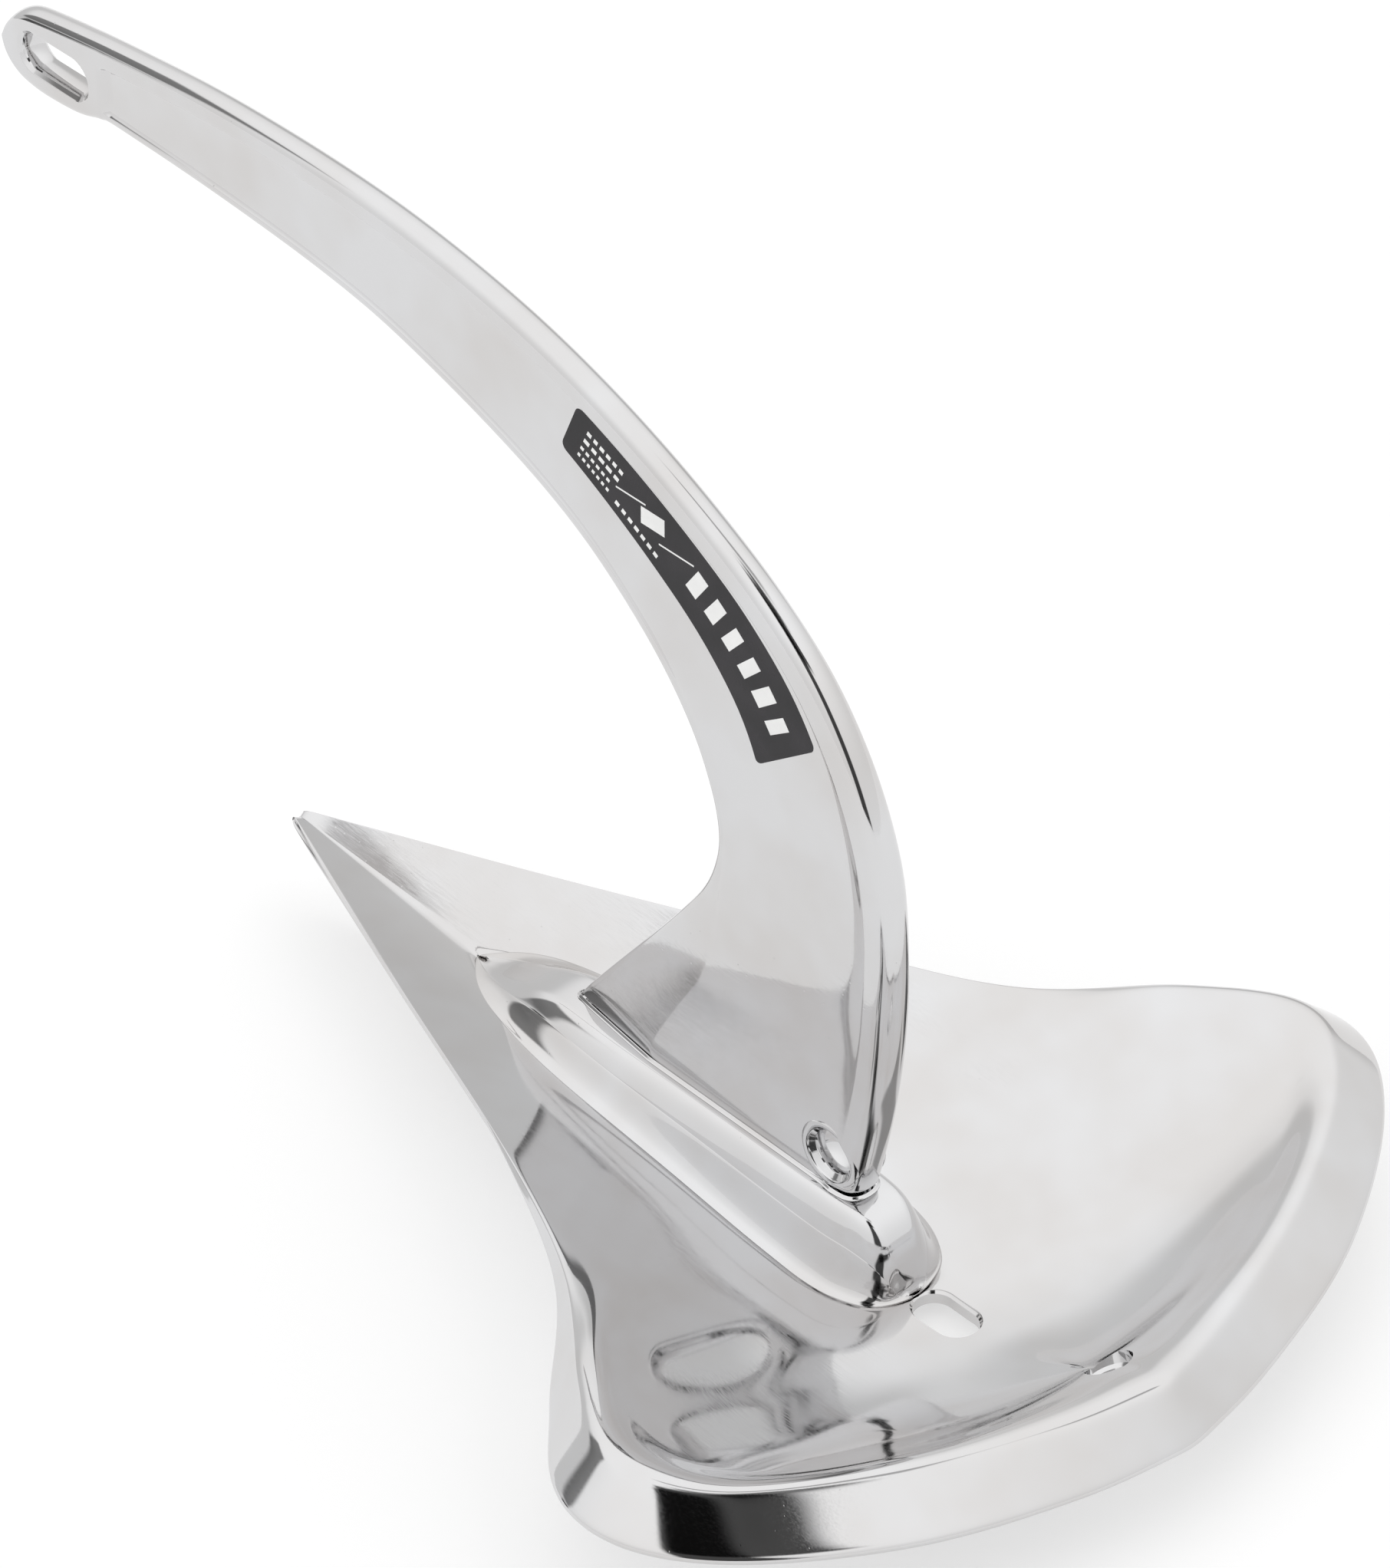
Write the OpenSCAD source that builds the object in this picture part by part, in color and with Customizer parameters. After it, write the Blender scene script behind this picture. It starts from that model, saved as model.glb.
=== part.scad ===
// Fixed-shank scoop anchor: one arched I-section shank welded to a keel casting in a concave fluke.
// Toe towards -X, heel towards +X, mirror-symmetric about Y = 0, keel underside at Z = 0.

/* [Fluke] */
// Length of the fluke from the toe to the heel fold
fluke_length = 373; // [330:1:420]
// Half width of the fluke at the widest point of its fold
fluke_half_width = 138; // [115:1:160]
// Depth of the scoop below the toe at its deepest point
scoop_depth = 17; // [10:0.5:24]
// Height of the fold above the toe at the wing tips
wing_rise = 24; // [16:0.5:34]
// Plate thickness of the fluke
plate_thickness = 5; // [3:0.1:7]
// Thickness of the bevelled leading edges and of the toe
edge_thickness = 2.6; // [1.5:0.1:4]
// Depth of the ballast under the toe
ballast_depth = 14; // [6:0.5:15]
// Width of the bank that climbs from the scoop floor to the fold
bank_width = 24; // [18:0.5:28]

/* [Skirt] */
// How far the skirt flares out beyond the fold
skirt_flare = 13.7; // [8:0.1:20]
// How far the skirt drops below the fold
skirt_drop = 12.3; // [8:0.1:20]
// Wall of the skirt
skirt_thickness = 5; // [3:0.1:7]

/* [Keel] */
// Half width of the keel casting
keel_half_width = 15; // [12:0.5:20]
// Height of the keel's top above the toe
keel_top = 8; // [4:0.5:16]
// Depth of the keel's underside below the toe
keel_bottom = 26; // [23:0.5:36]
// Length of the sloped nose in front of the shank's foot
keel_nose = 44; // [30:1:60]
// Length of the rounded dome behind the shank's foot
keel_dome = 17.5; // [12:0.5:24]

/* [Shank] */
// Reach from the rear of the foot to the tip of the eye
shank_reach = 365.5; // [320:0.5:420]
// Rise from the foot to the top of the arch
shank_rise = 242; // [210:1:290]
// Distance from the rear of the foot to the heel fold
foot_setback = 118; // [110:1:135]
// Thickness of the eye pad
eye_thickness = 10.4; // [8:0.1:14]
// Thickness of the recessed web
web_thickness = 5.4; // [4:0.1:8]
// Width of the upper flange at the foot
flange_width = 13.2; // [12:0.1:16]
// Width of the lower lip
lip_width = 9.2; // [8:0.1:12]
// Thickness of the foot where it meets the keel
foot_thickness = 11.6; // [9:0.1:13]

/* [Holes] */
// End-to-end length of the shackle slot in the eye
eye_slot_length = 31; // [26:0.5:36]
// Width of the shackle slot in the eye
eye_slot_width = 12.3; // [9:0.1:14]
// Distance from the eye tip to the near end of the shackle slot
eye_wall = 8.3; // [6:0.1:12]
// Diameter of the trip-line hole in the foot
trip_hole = 14.4; // [10:0.1:16]
// Diameter of the flared mouth of the trip-line hole
trip_mouth = 17.4; // [17:0.1:19]
// Height of the trip-line hole above the keel's top
trip_height = 11.6; // [10.5:0.1:16]
// Length of the centre slot behind the dome
heel_slot_length = 22; // [16:0.5:26]
// Width of the centre slot behind the dome
heel_slot_width = 13; // [8:0.5:16]
// Diameter of the drain hole near the heel
drain_hole = 12.6; // [6:0.1:15]

/* [Weld beads] */
// Width of the bead round the keel
keel_bead = 3; // [2:0.1:5]
// Width of the bead round the shank's foot
foot_bead = 1.4; // [1:0.1:3]

/* [Rating plates] */
// Thickness of each rating plate
label_thickness = 0.4; // [0.3:0.05:1]
// Width of the rating plate at its upper end
label_top_width = 18; // [12:0.5:20]
// Width of the rating plate at its lower end
label_bottom_width = 29; // [20:0.5:32]
// Gap between the rating plate and the flange's fillet
label_margin = 0.6; // [0.4:0.1:2]

/* [Hidden] */
$fn = 64;
steel = [0.80, 0.80, 0.79];
bright_steel = [0.86, 0.86, 0.85];
bead_steel = [0.66, 0.66, 0.66];
plate_black = [0.06, 0.06, 0.07];

// Fluke shape. Each row of rim_shape is [share of length, share of half width, share of wing rise].
rim_shape = [
    [0, 0, 0], [0.237, 0.244, 0.2], [0.465, 0.475, 0.5], [0.603, 0.645, 0.63], [0.708, 0.87, 0.93],
    [0.794, 1, 1], [0.863, 0.897, 0.79], [0.933, 0.58, 0.68], [0.976, 0.243, 0.6], [1, 0, 0.66]
];
// Each row of spine_shape is [share of length, share of scoop depth] under the same rim row.
spine_shape = [
    [0, 0], [0.263, -0.44], [0.509, -0.83], [0.633, -0.96], [0.713, -1],
    [0.772, -1], [0.815, -0.87], [0.853, -0.62], [0.885, -0.32], [0.912, 0]
];
// Each row of skirt_shape is [share of flare, share of drop] from the third rim row to the heel.
skirt_shape = [[0.1, 0.08], [0.22, 0.45], [0.6, 1.05], [1, 1], [1, 0.9], [1.1, 1], [1, 1.15], [0.85, 1.27]];
rim_last = len(rim_shape) - 1;
skirt_first = 2;
toe_start = 5;
front_steps = 10;
heel_steps = 28;
ballast_steps = 14;
skirt_steps = 42;
floor_points = 6;
// The bank from the scoop floor to the fold as shares of its width and heights in mm.
bank_steps = [0.78, 0.6, 0.45, 0.31, 0.18, 0.08, 0];
bank_heights = [-5.6, -3, -0.9, 0.6, 1.2, 0.9, 0];
bank_depth = 8;
edge_point = floor_points + len(bank_steps);

// Outline of the keel's opening as [share of its length, share of its half width].
keel_shape = [
    [0, 0], [0.02, 0.14], [0.05, 0.3], [0.1, 0.5], [0.18, 0.76], [0.28, 0.92], [0.4, 0.97], [0.6, 0.97],
    [0.76, 1], [0.86, 0.99], [0.9, 0.94], [0.935, 0.82], [0.96, 0.67], [0.98, 0.48], [0.993, 0.28], [1, 0]
];
// Where the sections cross the keel, as shares of the opening's length.
keel_stops = [
    0.015, 0.035, 0.06, 0.09, 0.13, 0.17, 0.22, 0.27, 0.33, 0.4, 0.47, 0.54, 0.61, 0.68, 0.74, 0.79,
    0.83, 0.865, 0.89, 0.912, 0.932, 0.95, 0.965, 0.977, 0.987, 0.995
];
// The keel's rounded shoulder from its flat top out to its side, as [share outwards, share down].
keel_shoulder = [[0.27, 0.05], [0.58, 0.24], [0.82, 0.46], [0.97, 0.66]];
plateau_margin = 0.3;
bead_lift = 4;

// Shank stations as [outer x, outer z, inner x, inner z] in mm at the design reach and rise,
// measured from the rear of the foot and from the keel's top.
design_reach = 365.5;
design_rise = 242;
shank_stations = [
    [-365.5, 221, -365.5, 219], [-364, 225.5, -364, 213.8], [-360.5, 229.5, -360.5, 209.6],
    [-355, 232.3, -355, 207.2], [-346, 234, -346, 206.3], [-331, 236, -331, 207.3],
    [-320, 237.3, -320, 210.2], [-305, 238.8, -305, 210.2], [-280, 241, -281, 209.5],
    [-255, 242, -257, 208.2], [-225, 242, -229, 206], [-195, 240.5, -202, 202.3],
    [-167, 237, -178, 196.3], [-140, 231.8, -154, 188.8], [-115, 224.8, -133, 180.8],
    [-90, 215.4, -114, 171], [-65, 203.5, -97, 158.5], [-42, 190, -82, 144.5],
    [-22, 174, -70.5, 129], [-8, 156.5, -63.8, 114.5], [2, 137.5, -61, 102],
    [8.5, 117, -61.4, 90], [10.8, 95, -66.4, 75], [10.8, 74, -77, 59],
    [9.5, 52, -90, 41.5], [6.5, 30, -105, 22], [2.5, 10, -117, 6], [0, 0, -121, 0]
];
// Half widths of the eye pad, web, lip, foot and flange, and of the thin front edge of the foot.
pad = eye_thickness / 2;
web = web_thickness / 2;
lip = lip_width / 2;
foot = foot_thickness / 2;
flange = flange_width / 2;
front = 1.8;
// Shank section by station as [station, flange, web, lip and edge half width, then the flange's
// depth and fillet and the lip's run and fillet in mm].
section_rows = [
    [0, pad, pad, pad, pad, 8, 2, 4.5, 2], [5.95, pad, pad, pad, pad, 8, 2, 4.5, 2],
    [6.07, pad, pad * 0.6 + web * 0.4, pad * 0.6 + lip * 0.4, lip, 7.6, 2, 3.6, 2],
    [6.2, pad, web, lip, lip, 7.3, 1.8, 3.2, 1.6], [14, pad, web, lip, lip, 7, 2.2, 3.6, 1.8],
    [17, pad * 0.8 + flange * 0.2, web, lip, lip, 8, 3.5, 4, 2.2],
    [19, pad * 0.6 + flange * 0.4, web, web * 0.6 + lip * 0.4, lip * 0.9, 8.5, 6, 3.5, 4],
    [21, pad * 0.4 + flange * 0.6, web * 0.8 + foot * 0.2, web, web, 9, 12, 3, 4],
    [22, flange * 0.9, web * 0.6 + foot * 0.4, web, web * 0.9, 9, 14, 6, 4],
    [23, flange, web * 0.3 + foot * 0.7, foot * 0.75, front, 9, 14, 17, 3],
    [24, flange, foot, foot * 0.97, front, 9, 12, 26, 2],
    [27, flange, foot, foot * 0.97, front, 9, 8, 35, 2]
];
station_last = len(shank_stations) - 1;
shank_steps = 3;

// Where the keel casting starts and ends along the centre line.
foot_rear = fluke_length - foot_setback;
foot_length = -shank_stations[station_last][2] * shank_reach / design_reach;
nose_start = foot_rear - foot_length - keel_nose;
dome_end = foot_rear + keel_dome;
opening_start = nose_start - keel_bead;
opening_end = dome_end + keel_bead;
opening_half = keel_half_width + keel_bead;
slot_gap = 0.5;
label_first = 14.1;
label_last = 18.9;
label_steps = 16;
mouth_depth = 1.5;
boss_height = 0.5;
boss_margin = 0.2;

// Where the whole anchor stands.
eye_tip_x = foot_rear - shank_reach;
heel_tip_x = skirt_point(rim_last)[0];
middle_x = (eye_tip_x + heel_tip_x) / 2;

module stand() {
    translate([-middle_x, 0, keel_bottom])
        children();
}

// ---- Small helpers ----
function mix(a, b, t) = a + (b - a) * t;
function clamp01(t) = max(0, min(1, t));
function smooth(t) = let (c = clamp01(t)) c * c * (3 - 2 * c);
function unit(v) = v / norm(v);
function mirrored(p) = [p[0], -p[1], p[2]];
function flat(rows) = [for (row = rows) for (p = row) p];

// Smooth curve through a list of rows; s counts rows from 0.
function curve(rows, s) =
    let (
        i = min(floor(s), len(rows) - 2),
        t = s - i,
        b = rows[i],
        c = rows[i + 1],
        a = i > 0 ? rows[i - 1] : 2 * b - c,
        d = i + 2 < len(rows) ? rows[i + 2] : 2 * c - b
    )
    0.5 * (2 * b + (c - a) * t + (2 * a - 5 * b + 4 * c - d) * t * t + (3 * b - a - 3 * c + d) * t * t * t);

// Straight interpolation in a table whose first column rises.
function table(rows, x) =
    let (
        hit = [for (i = [0 : len(rows) - 2]) if (x >= rows[i][0]) i],
        i = len(hit) == 0 ? 0 : hit[len(hit) - 1]
    )
    mix(rows[i], rows[i + 1], clamp01((x - rows[i][0]) / (rows[i + 1][0] - rows[i][0])));

// ---- Solids from rows of points ----
// Each row holds the points of one section from the centre plane round to the centre plane again,
// all on the +Y side. The -Y side is its mirror image.
module mirrored_loft(rows) {
    n = len(rows);
    m = len(rows[0]);
    ring = 2 * m - 2;
    points = flat([for (row = rows) concat(row, [for (j = [m - 2 : -1 : 1]) mirrored(row[j])])]);
    sides = [
        for (i = [0 : n - 2]) for (j = [0 : ring - 1])
            let (a = i * ring + j, b = i * ring + (j + 1) % ring, c = b + ring, d = a + ring)
            each [[a, b, c], [a, c, d]]
    ];
    first = [for (j = [0 : m - 2]) each cap(0, j, m, ring)];
    last = [for (j = [0 : m - 2]) each cap((n - 1) * ring, j, m, ring)];
    polyhedron(points, concat(sides, [for (f = first) [f[2], f[1], f[0]]], last), convexity = 8);
}

// Triangles of an end cap between point j and its mirror image.
function cap(start, j, m, ring) =
    let (a = start + j, b = start + j + 1, c = start + (ring - j - 1) % ring, d = start + (ring - j) % ring)
    j == 0 ? [[a, b, c]] : j == m - 2 ? [[a, b, d]] : [[a, b, c], [a, c, d]];

// Loft through closed four-sided sections along an open or closed path.
module ring_loft(rings, closed = false) {
    n = len(rings);
    m = len(rings[0]);
    last = closed ? n - 1 : n - 2;
    sides = [
        for (i = [0 : last]) for (j = [0 : m - 1])
            let (
                k = (i + 1) % n,
                a = i * m + j,
                b = i * m + (j + 1) % m,
                c = k * m + (j + 1) % m,
                d = k * m + j
            )
            each [[a, b, c], [a, c, d]]
    ];
    caps = closed ? [] : [[for (j = [m - 1 : -1 : 0]) j], [for (j = [0 : m - 1]) (n - 1) * m + j]];
    polyhedron(flat(rings), concat(sides, caps), convexity = 8);
}

// ---- Fluke geometry ----
function rim_point(s) =
    let (r = curve(rim_shape, s))
    [r[0] * fluke_length, max(0, r[1]) * fluke_half_width, r[2] * wing_rise];
function spine_point(s) =
    let (r = curve(spine_shape, s))
    [r[0] * fluke_length, 0, r[1] * scoop_depth];
function roll_share(s) = smooth((s - skirt_first - 0.4) / 1.5);
function bowl_share(s) = mix(1, 0.12, smooth(s / 4.5));
function rise_law(u, s) = bowl_share(s) * u + (1 - bowl_share(s)) * u * u;

// Distance along the section at s from the spine to the edge of the keel's opening.
function opening_half_at(x) =
    table(keel_shape, (x - opening_start) / (opening_end - opening_start))[1] * opening_half;
function opening_reach(s) =
    let (
        spine = spine_point(s),
        rim = rim_point(s),
        reach = max(1, norm([rim[0] - spine[0], rim[1]])),
        slope = [(rim[0] - spine[0]) / reach, rim[1] / reach]
    )
    spine[0] < opening_start + 0.01 || spine[0] > opening_end - 0.01 ? 0 : reach_step(spine[0], slope, 0, 8);
function reach_step(x, slope, t, left) =
    left == 0 ? t : reach_step(x, slope, opening_half_at(x + slope[0] * t) / slope[1], left - 1);

// Distance out from the spine and height of point j in the section at s.
function section_point(s, j) =
    let (
        spine = spine_point(s),
        rim = rim_point(s),
        reach = norm([rim[0] - spine[0], rim[1]]),
        floor_reach = reach - bank_width,
        start = opening_reach(s),
        plain_u = j <= floor_points
            ? mix(start / reach, 0.72, j / floor_points)
            : 0.72 + 0.28 * (j - floor_points) / len(bank_steps),
        plain = [reach * plain_u, mix(spine[2], rim[2], rise_law(plain_u, s))],
        v = mix(start / floor_reach, 1, j / floor_points),
        bank_foot = rim[2] - bank_depth,
        k = j - floor_points - 1,
        rolled = j <= floor_points
            ? [floor_reach * v, mix(spine[2], bank_foot, rise_law(v, s))]
            : [reach - bank_steps[k] * bank_width, rim[2] + bank_heights[k]]
    )
    mix(plain, rolled, roll_share(s));

function section_normal(s, j) =
    let (
        before = section_point(s, max(0, j - 1)),
        after = section_point(s, min(edge_point, j + 1)),
        t = after - before,
        n = unit([-t[1], t[0]])
    )
    j == 0 ? [0, 1] : j == edge_point ? unit(mix([0, 1], [0.6, 0.8], roll_share(s))) : n;

function section_wall(s, j) =
    let (
        u = section_point(s, j)[0] / section_point(s, edge_point)[0],
        bevel = max(clamp01((u - 0.82) / 0.18) * (1 - roll_share(s)), 1 - clamp01(s / 0.5))
    )
    mix(plate_thickness, edge_thickness, bevel);

function in_plan(s, p) =
    let (spine = spine_point(s), rim = rim_point(s), d = unit([rim[0] - spine[0], rim[1]]))
    [spine[0] + d[0] * p[0], d[1] * p[0], p[1]];
function top_point(s, j) = in_plan(s, section_point(s, j));
function under_point(s, j) = in_plan(s, section_point(s, j) - section_normal(s, j) * section_wall(s, j));

// Section numbers along the blade: toe, keel opening, heel.
spine_rows = [for (i = [0 : 180]) [spine_point(i / 20)[0], i / 20, spine_point(i / 20)[2]]];
function s_at(x) = table(spine_rows, x)[1];
blade_stops = concat(
    [for (i = [0 : front_steps]) s_at(mix(toe_start, opening_start, i / front_steps))],
    [for (u = keel_stops) s_at(mix(opening_start, opening_end, u))],
    [for (i = [0 : heel_steps]) mix(s_at(opening_end), rim_last, i / heel_steps)]
);
blade_last = len(blade_stops) - 1;
keel_first = front_steps + 1;
keel_last = front_steps + len(keel_stops);
function fold_direction(s) =
    let (t = rim_point(min(rim_last, s + 0.02)) - rim_point(s - 0.02))
    s > rim_last - 0.01 ? [1, 0] : unit([-t[1], t[0]]) * (t[0] > 0 || t[1] < 0 ? 1 : -1);
function outward(s) =
    let (d = fold_direction(s))
    d * (d * [0.3, 1] < 0 ? -1 : 1);
function skirt_point(s) =
    let (r = curve(skirt_shape, s - skirt_first), d = outward(s), p = top_point(s, edge_point))
    [p[0] + d[0] * r[0] * skirt_flare, p[1] + d[1] * r[0] * skirt_flare, p[2] - r[1] * skirt_drop];
function skirt_section(s) =
    let (
        a = top_point(s, edge_point),
        b = skirt_point(s),
        h = [b[0] - a[0], b[1] - a[1]],
        d = unit(h),
        n = unit([d[0] * (a[2] - b[2]), d[1] * (a[2] - b[2]), norm(h)])
    )
    [a, b, b - n * mix(edge_thickness, skirt_thickness, roll_share(s)), under_point(s, edge_point)];

// ---- Fluke ----
module blade_sheet() {
    side = edge_point;
    row = 2 * side + 2;
    count = blade_last * row + side + 1;
    rights = [for (i = [0 : blade_last]) [for (j = [0 : side]) top_point(blade_stops[i], j)]];
    unders = [for (i = [0 : blade_last]) [for (j = [0 : side]) under_point(blade_stops[i], j)]];
    function full_rows(rows) = [
        for (i = [0 : blade_last - 1])
            concat(rows[i], [for (j = [side : -1 : 0]) mirrored(rows[i][j])])
    ];
    function is_open(i) = i >= keel_first && i <= keel_last;
    function id(i, j, left) =
        i == blade_last ? i * row + j : i * row + (left && (j > 0 || is_open(i)) ? row - 1 - j : j);
    function both(quad) = let (a = quad[0], b = quad[1], c = quad[2], d = quad[3]) [[a, b, c], [a, c, d]];
    function flip(quad) = [quad[3], quad[2], quad[1], quad[0]];
    function top_quad(i, j, left) = [
        id(i, j, left), id(i, j + 1, left), id(i + 1, j + 1, left), id(i + 1, j, left)
    ];
    function wall_quad(i, j, left) = [
        id(i + 1, j, left), id(i, j, left), id(i, j, left) + count, id(i + 1, j, left) + count
    ];
    function toe_quad(j, left) = [
        id(0, j + 1, left), id(0, j, left), id(0, j, left) + count, id(0, j + 1, left) + count
    ];
    lower = [count, count, count, count];
    top = [
        for (i = [0 : blade_last - 1]) for (j = [0 : side - 1])
            each concat(both(top_quad(i, j, false)), both(flip(top_quad(i, j, true))))
    ];
    under = [
        for (i = [0 : blade_last - 1]) for (j = [0 : side - 1])
            each concat(both(flip(top_quad(i, j, false) + lower)), both(top_quad(i, j, true) + lower))
    ];
    edges = [
        for (i = [0 : blade_last - 1])
            each concat(both(wall_quad(i, side, false)), both(flip(wall_quad(i, side, true))))
    ];
    opening = [
        for (i = [keel_first - 1 : keel_last])
            each concat(both(flip(wall_quad(i, 0, false))), both(wall_quad(i, 0, true)))
    ];
    toe = [
        for (j = [0 : side - 1])
            each concat(both(toe_quad(j, false)), both(flip(toe_quad(j, true))))
    ];
    points = concat(flat(full_rows(rights)), rights[blade_last], flat(full_rows(unders)), unders[blade_last]);
    polyhedron(points, concat(top, under, edges, opening, toe), convexity = 8);
}

module heel_slot_shape() {
    x = opening_end + slot_gap + heel_slot_width / 2;
    translate([x, 0])
        circle(d = heel_slot_width);
    translate([x, -heel_slot_width / 2])
        square([heel_slot_length - heel_slot_width, heel_slot_width]);
    translate([x + heel_slot_length - heel_slot_width, 0])
        circle(d = heel_slot_width);
}

module fluke_blade() {
    color(bright_steel) stand() difference() {
        blade_sheet();
        translate([0, 0, -60])
            linear_extrude(90)
                heel_slot_shape();
        translate(drain_seat)
            rotate([0, -drain_tilt, 0])
                cylinder(d = drain_hole, h = 40, center = true);
    }
}

module heel_skirt() {
    right = [for (i = [0 : skirt_steps]) skirt_section(mix(skirt_first, rim_last, i / skirt_steps))];
    left = [
        for (i = [skirt_steps - 1 : -1 : 0])
            let (r = right[i])
            [for (p = r) mirrored(p)]
    ];
    color(bright_steel) stand()
        ring_loft(concat(right, left));
}

module toe_ballast() {
    rows = [
        for (i = [0 : ballast_steps])
            let (
                t = i / ballast_steps,
                s = s_at(mix(toe_start + 3, opening_start - 3, t)),
                under = [for (j = [0 : 5]) under_point(s, j)],
                edge = under[5],
                low = under[0] - [0, 0, 1.5 + ballast_depth * sin(180 * pow(t, 0.75))]
            )
            concat(under, [mix(edge, low, 0.5) - [0, 0, 0.8], mix(edge, low, 0.88) - [0, 0, 0.6], low])
    ];
    color(steel) stand()
        mirrored_loft(rows);
}

// ---- Keel ----
// Plan point on the side of the keel in the section at s, just inside the weld bead.
function keel_side(s) =
    let (
        spine = spine_point(s),
        rim = rim_point(s),
        t = opening_reach(s),
        d = unit([rim[0] - spine[0], rim[1]])
    )
    [spine[0], 0] + d * (t - min(keel_bead, t / 2));
function spine_height(x) = table(spine_rows, x)[2];
function bead_height(s) =
    let (x = spine_point(s)[0])
    min(bead_lift * clamp01(2 * opening_reach(s) / opening_half), max(0.3, keel_crest(x) - spine_height(x) - 0.8));
function keel_crest(x) =
    x < nose_start + keel_nose
        ? mix(spine_height(nose_start) + 0.9, keel_top, smooth((x - nose_start) / keel_nose))
        : x <= foot_rear + 2
            ? keel_top
            : mix(spine_height(dome_end) + 1.2, keel_top,
                  sqrt(max(0, 1 - pow((x - foot_rear - 2) / (keel_dome - 2), 2))));
function keel_sole(x) =
    mix(spine_height(x) - plate_thickness - 1.5, -keel_bottom,
        smooth((x - nose_start + 14) / 30) * smooth((dome_end + 3 - x) / 60));
function keel_row(s) =
    let (
        side = keel_side(s),
        x = side[0],
        h = side[1],
        crest = keel_crest(x),
        crown = crest < keel_top ? 0.2 : 0,
        wall_top = min(top_point(s, 0)[2] + bead_height(s) + 0.2, crest - crown - 0.3),
        wall_low = under_point(s, 0)[2] - 0.6,
        sole = min(keel_sole(x), wall_low - 0.6),
        flat_half = min(h * 0.5, foot + foot_bead + plateau_margin),
        shoulder = [for (q = keel_shoulder) [x, mix(flat_half, h, q[0]), mix(crest - crown, wall_top, q[1])]]
    )
    [
        [x, 0, crest], [x, flat_half, crest - crown], each shoulder, [x, h, wall_top], [x, h, wall_low],
        [x, h * 0.72, mix(wall_low, sole, 0.5)], [x, h * 0.3, mix(wall_low, sole, 0.93)],
        [x, 0, sole]
    ];

module keel() {
    color(steel) stand()
        mirrored_loft([for (i = [keel_first : keel_last]) keel_row(blade_stops[i])]);
}

// Bead section from the keel's side to the edge of the blade's opening.
function bead_section(a, b, s, lift) =
    let (low = under_point(s, 0)[2], high = top_point(s, 0)[2])
    [[a[0], a[1], low], [b[0], b[1], low], [b[0], b[1], high], [a[0], a[1], high + lift]];

module keel_weld() {
    right = [
        for (i = [keel_first : keel_last])
            let (s = blade_stops[i])
            bead_section(keel_side(s), top_point(s, 0), s, bead_height(s) + 0.1)
    ];
    s_front = blade_stops[keel_first - 1];
    s_rear = blade_stops[keel_last + 1];
    front_tip = bead_section([keel_side(blade_stops[keel_first])[0], 0], spine_point(s_front), s_front, 0.3);
    rear_tip = bead_section([keel_side(blade_stops[keel_last])[0], 0], spine_point(s_rear), s_rear, 0.3);
    left = [for (i = [len(right) - 1 : -1 : 0]) [for (p = right[i]) mirrored(p)]];
    color(bead_steel) stand()
        ring_loft(concat([front_tip], right, [rear_tip], left), closed = true);
}

// ---- Shank ----
function station(k) =
    let (
        r = curve(shank_stations, k),
        sx = shank_reach / design_reach,
        sz = shank_rise / design_rise
    )
    [[foot_rear + r[0] * sx, keel_top + r[1] * sz], [foot_rear + r[2] * sx, keel_top + r[3] * sz]];

// Points of the I-section at station k as [distance from the outer edge, half width].
function shank_profile(k) =
    let (
        ends = station(k),
        depth = norm(ends[1] - ends[0]),
        r = table(section_rows, k),
        f = min(1, depth / 27),
        fl = r[1],
        we = r[2],
        li = r[3],
        ed = r[4]
    )
    [
        [0, 0], [0.38 * f, fl * 0.4], [1.5 * f, fl * 0.73], [3.4 * f, fl * 0.94],
        [r[5] * f, fl], [(r[5] + r[6] * 0.4) * f, mix(fl, we, 0.72)], [(r[5] + r[6]) * f, we],
        [depth - (r[7] + r[8]) * f, we], [depth - r[7] * f, li],
        [depth - 1.5 * f, ed], [depth - 0.4 * f, ed * 0.6], [depth, 0]
    ];
function shank_row(k) =
    let (ends = station(k), u = unit(ends[1] - ends[0]))
    [for (p = shank_profile(k)) [ends[0][0] + u[0] * p[0], p[1], ends[0][1] + u[1] * p[0]]];

slot_middle_x = eye_tip_x + eye_wall + eye_slot_length / 2;
slot_middle_z = (station(4)[0][1] + station(4)[1][1]) / 2;
drain_tilt = 28;
drain_seat = [mix(spine_point(rim_last)[0], heel_tip_x, 0.25), 0, spine_point(rim_last)[2] + 5.5];
trip_x = foot_rear - 10.5;
trip_z = keel_top + trip_height;

module eye_slot_cut() {
    run = eye_slot_length - eye_slot_width;
    translate([slot_middle_x, 0, slot_middle_z])
        rotate([90, 0, 0])
            linear_extrude(60, center = true) {
                translate([-run / 2, 0])
                    circle(d = eye_slot_width);
                translate([-run / 2, -eye_slot_width / 2])
                    square([run, eye_slot_width]);
                translate([run / 2, 0])
                    circle(d = eye_slot_width);
            }
}

module trip_hole_cut() {
    half = foot + boss_height;
    translate([trip_x, 0, trip_z]) rotate([90, 0, 0]) {
        cylinder(d = trip_hole, h = 40, center = true);
        for (side = [-1, 1])
            translate([0, 0, side * (half - mouth_depth / 2)])
                rotate([side > 0 ? 0 : 180, 0, 0])
                    cylinder(d1 = trip_hole, d2 = trip_mouth, h = mouth_depth, center = true);
    }
}

module shank() {
    rows = [for (i = [0 : station_last * shank_steps]) shank_row(i / shank_steps)];
    color(steel) stand() difference() {
        union() {
            mirrored_loft(rows);
            translate([trip_x, 0, trip_z])
                rotate([90, 0, 0])
                    cylinder(r = trip_height - boss_margin, h = 2 * (foot + boss_height), center = true);
        }
        eye_slot_cut();
        trip_hole_cut();
    }
}

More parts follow.
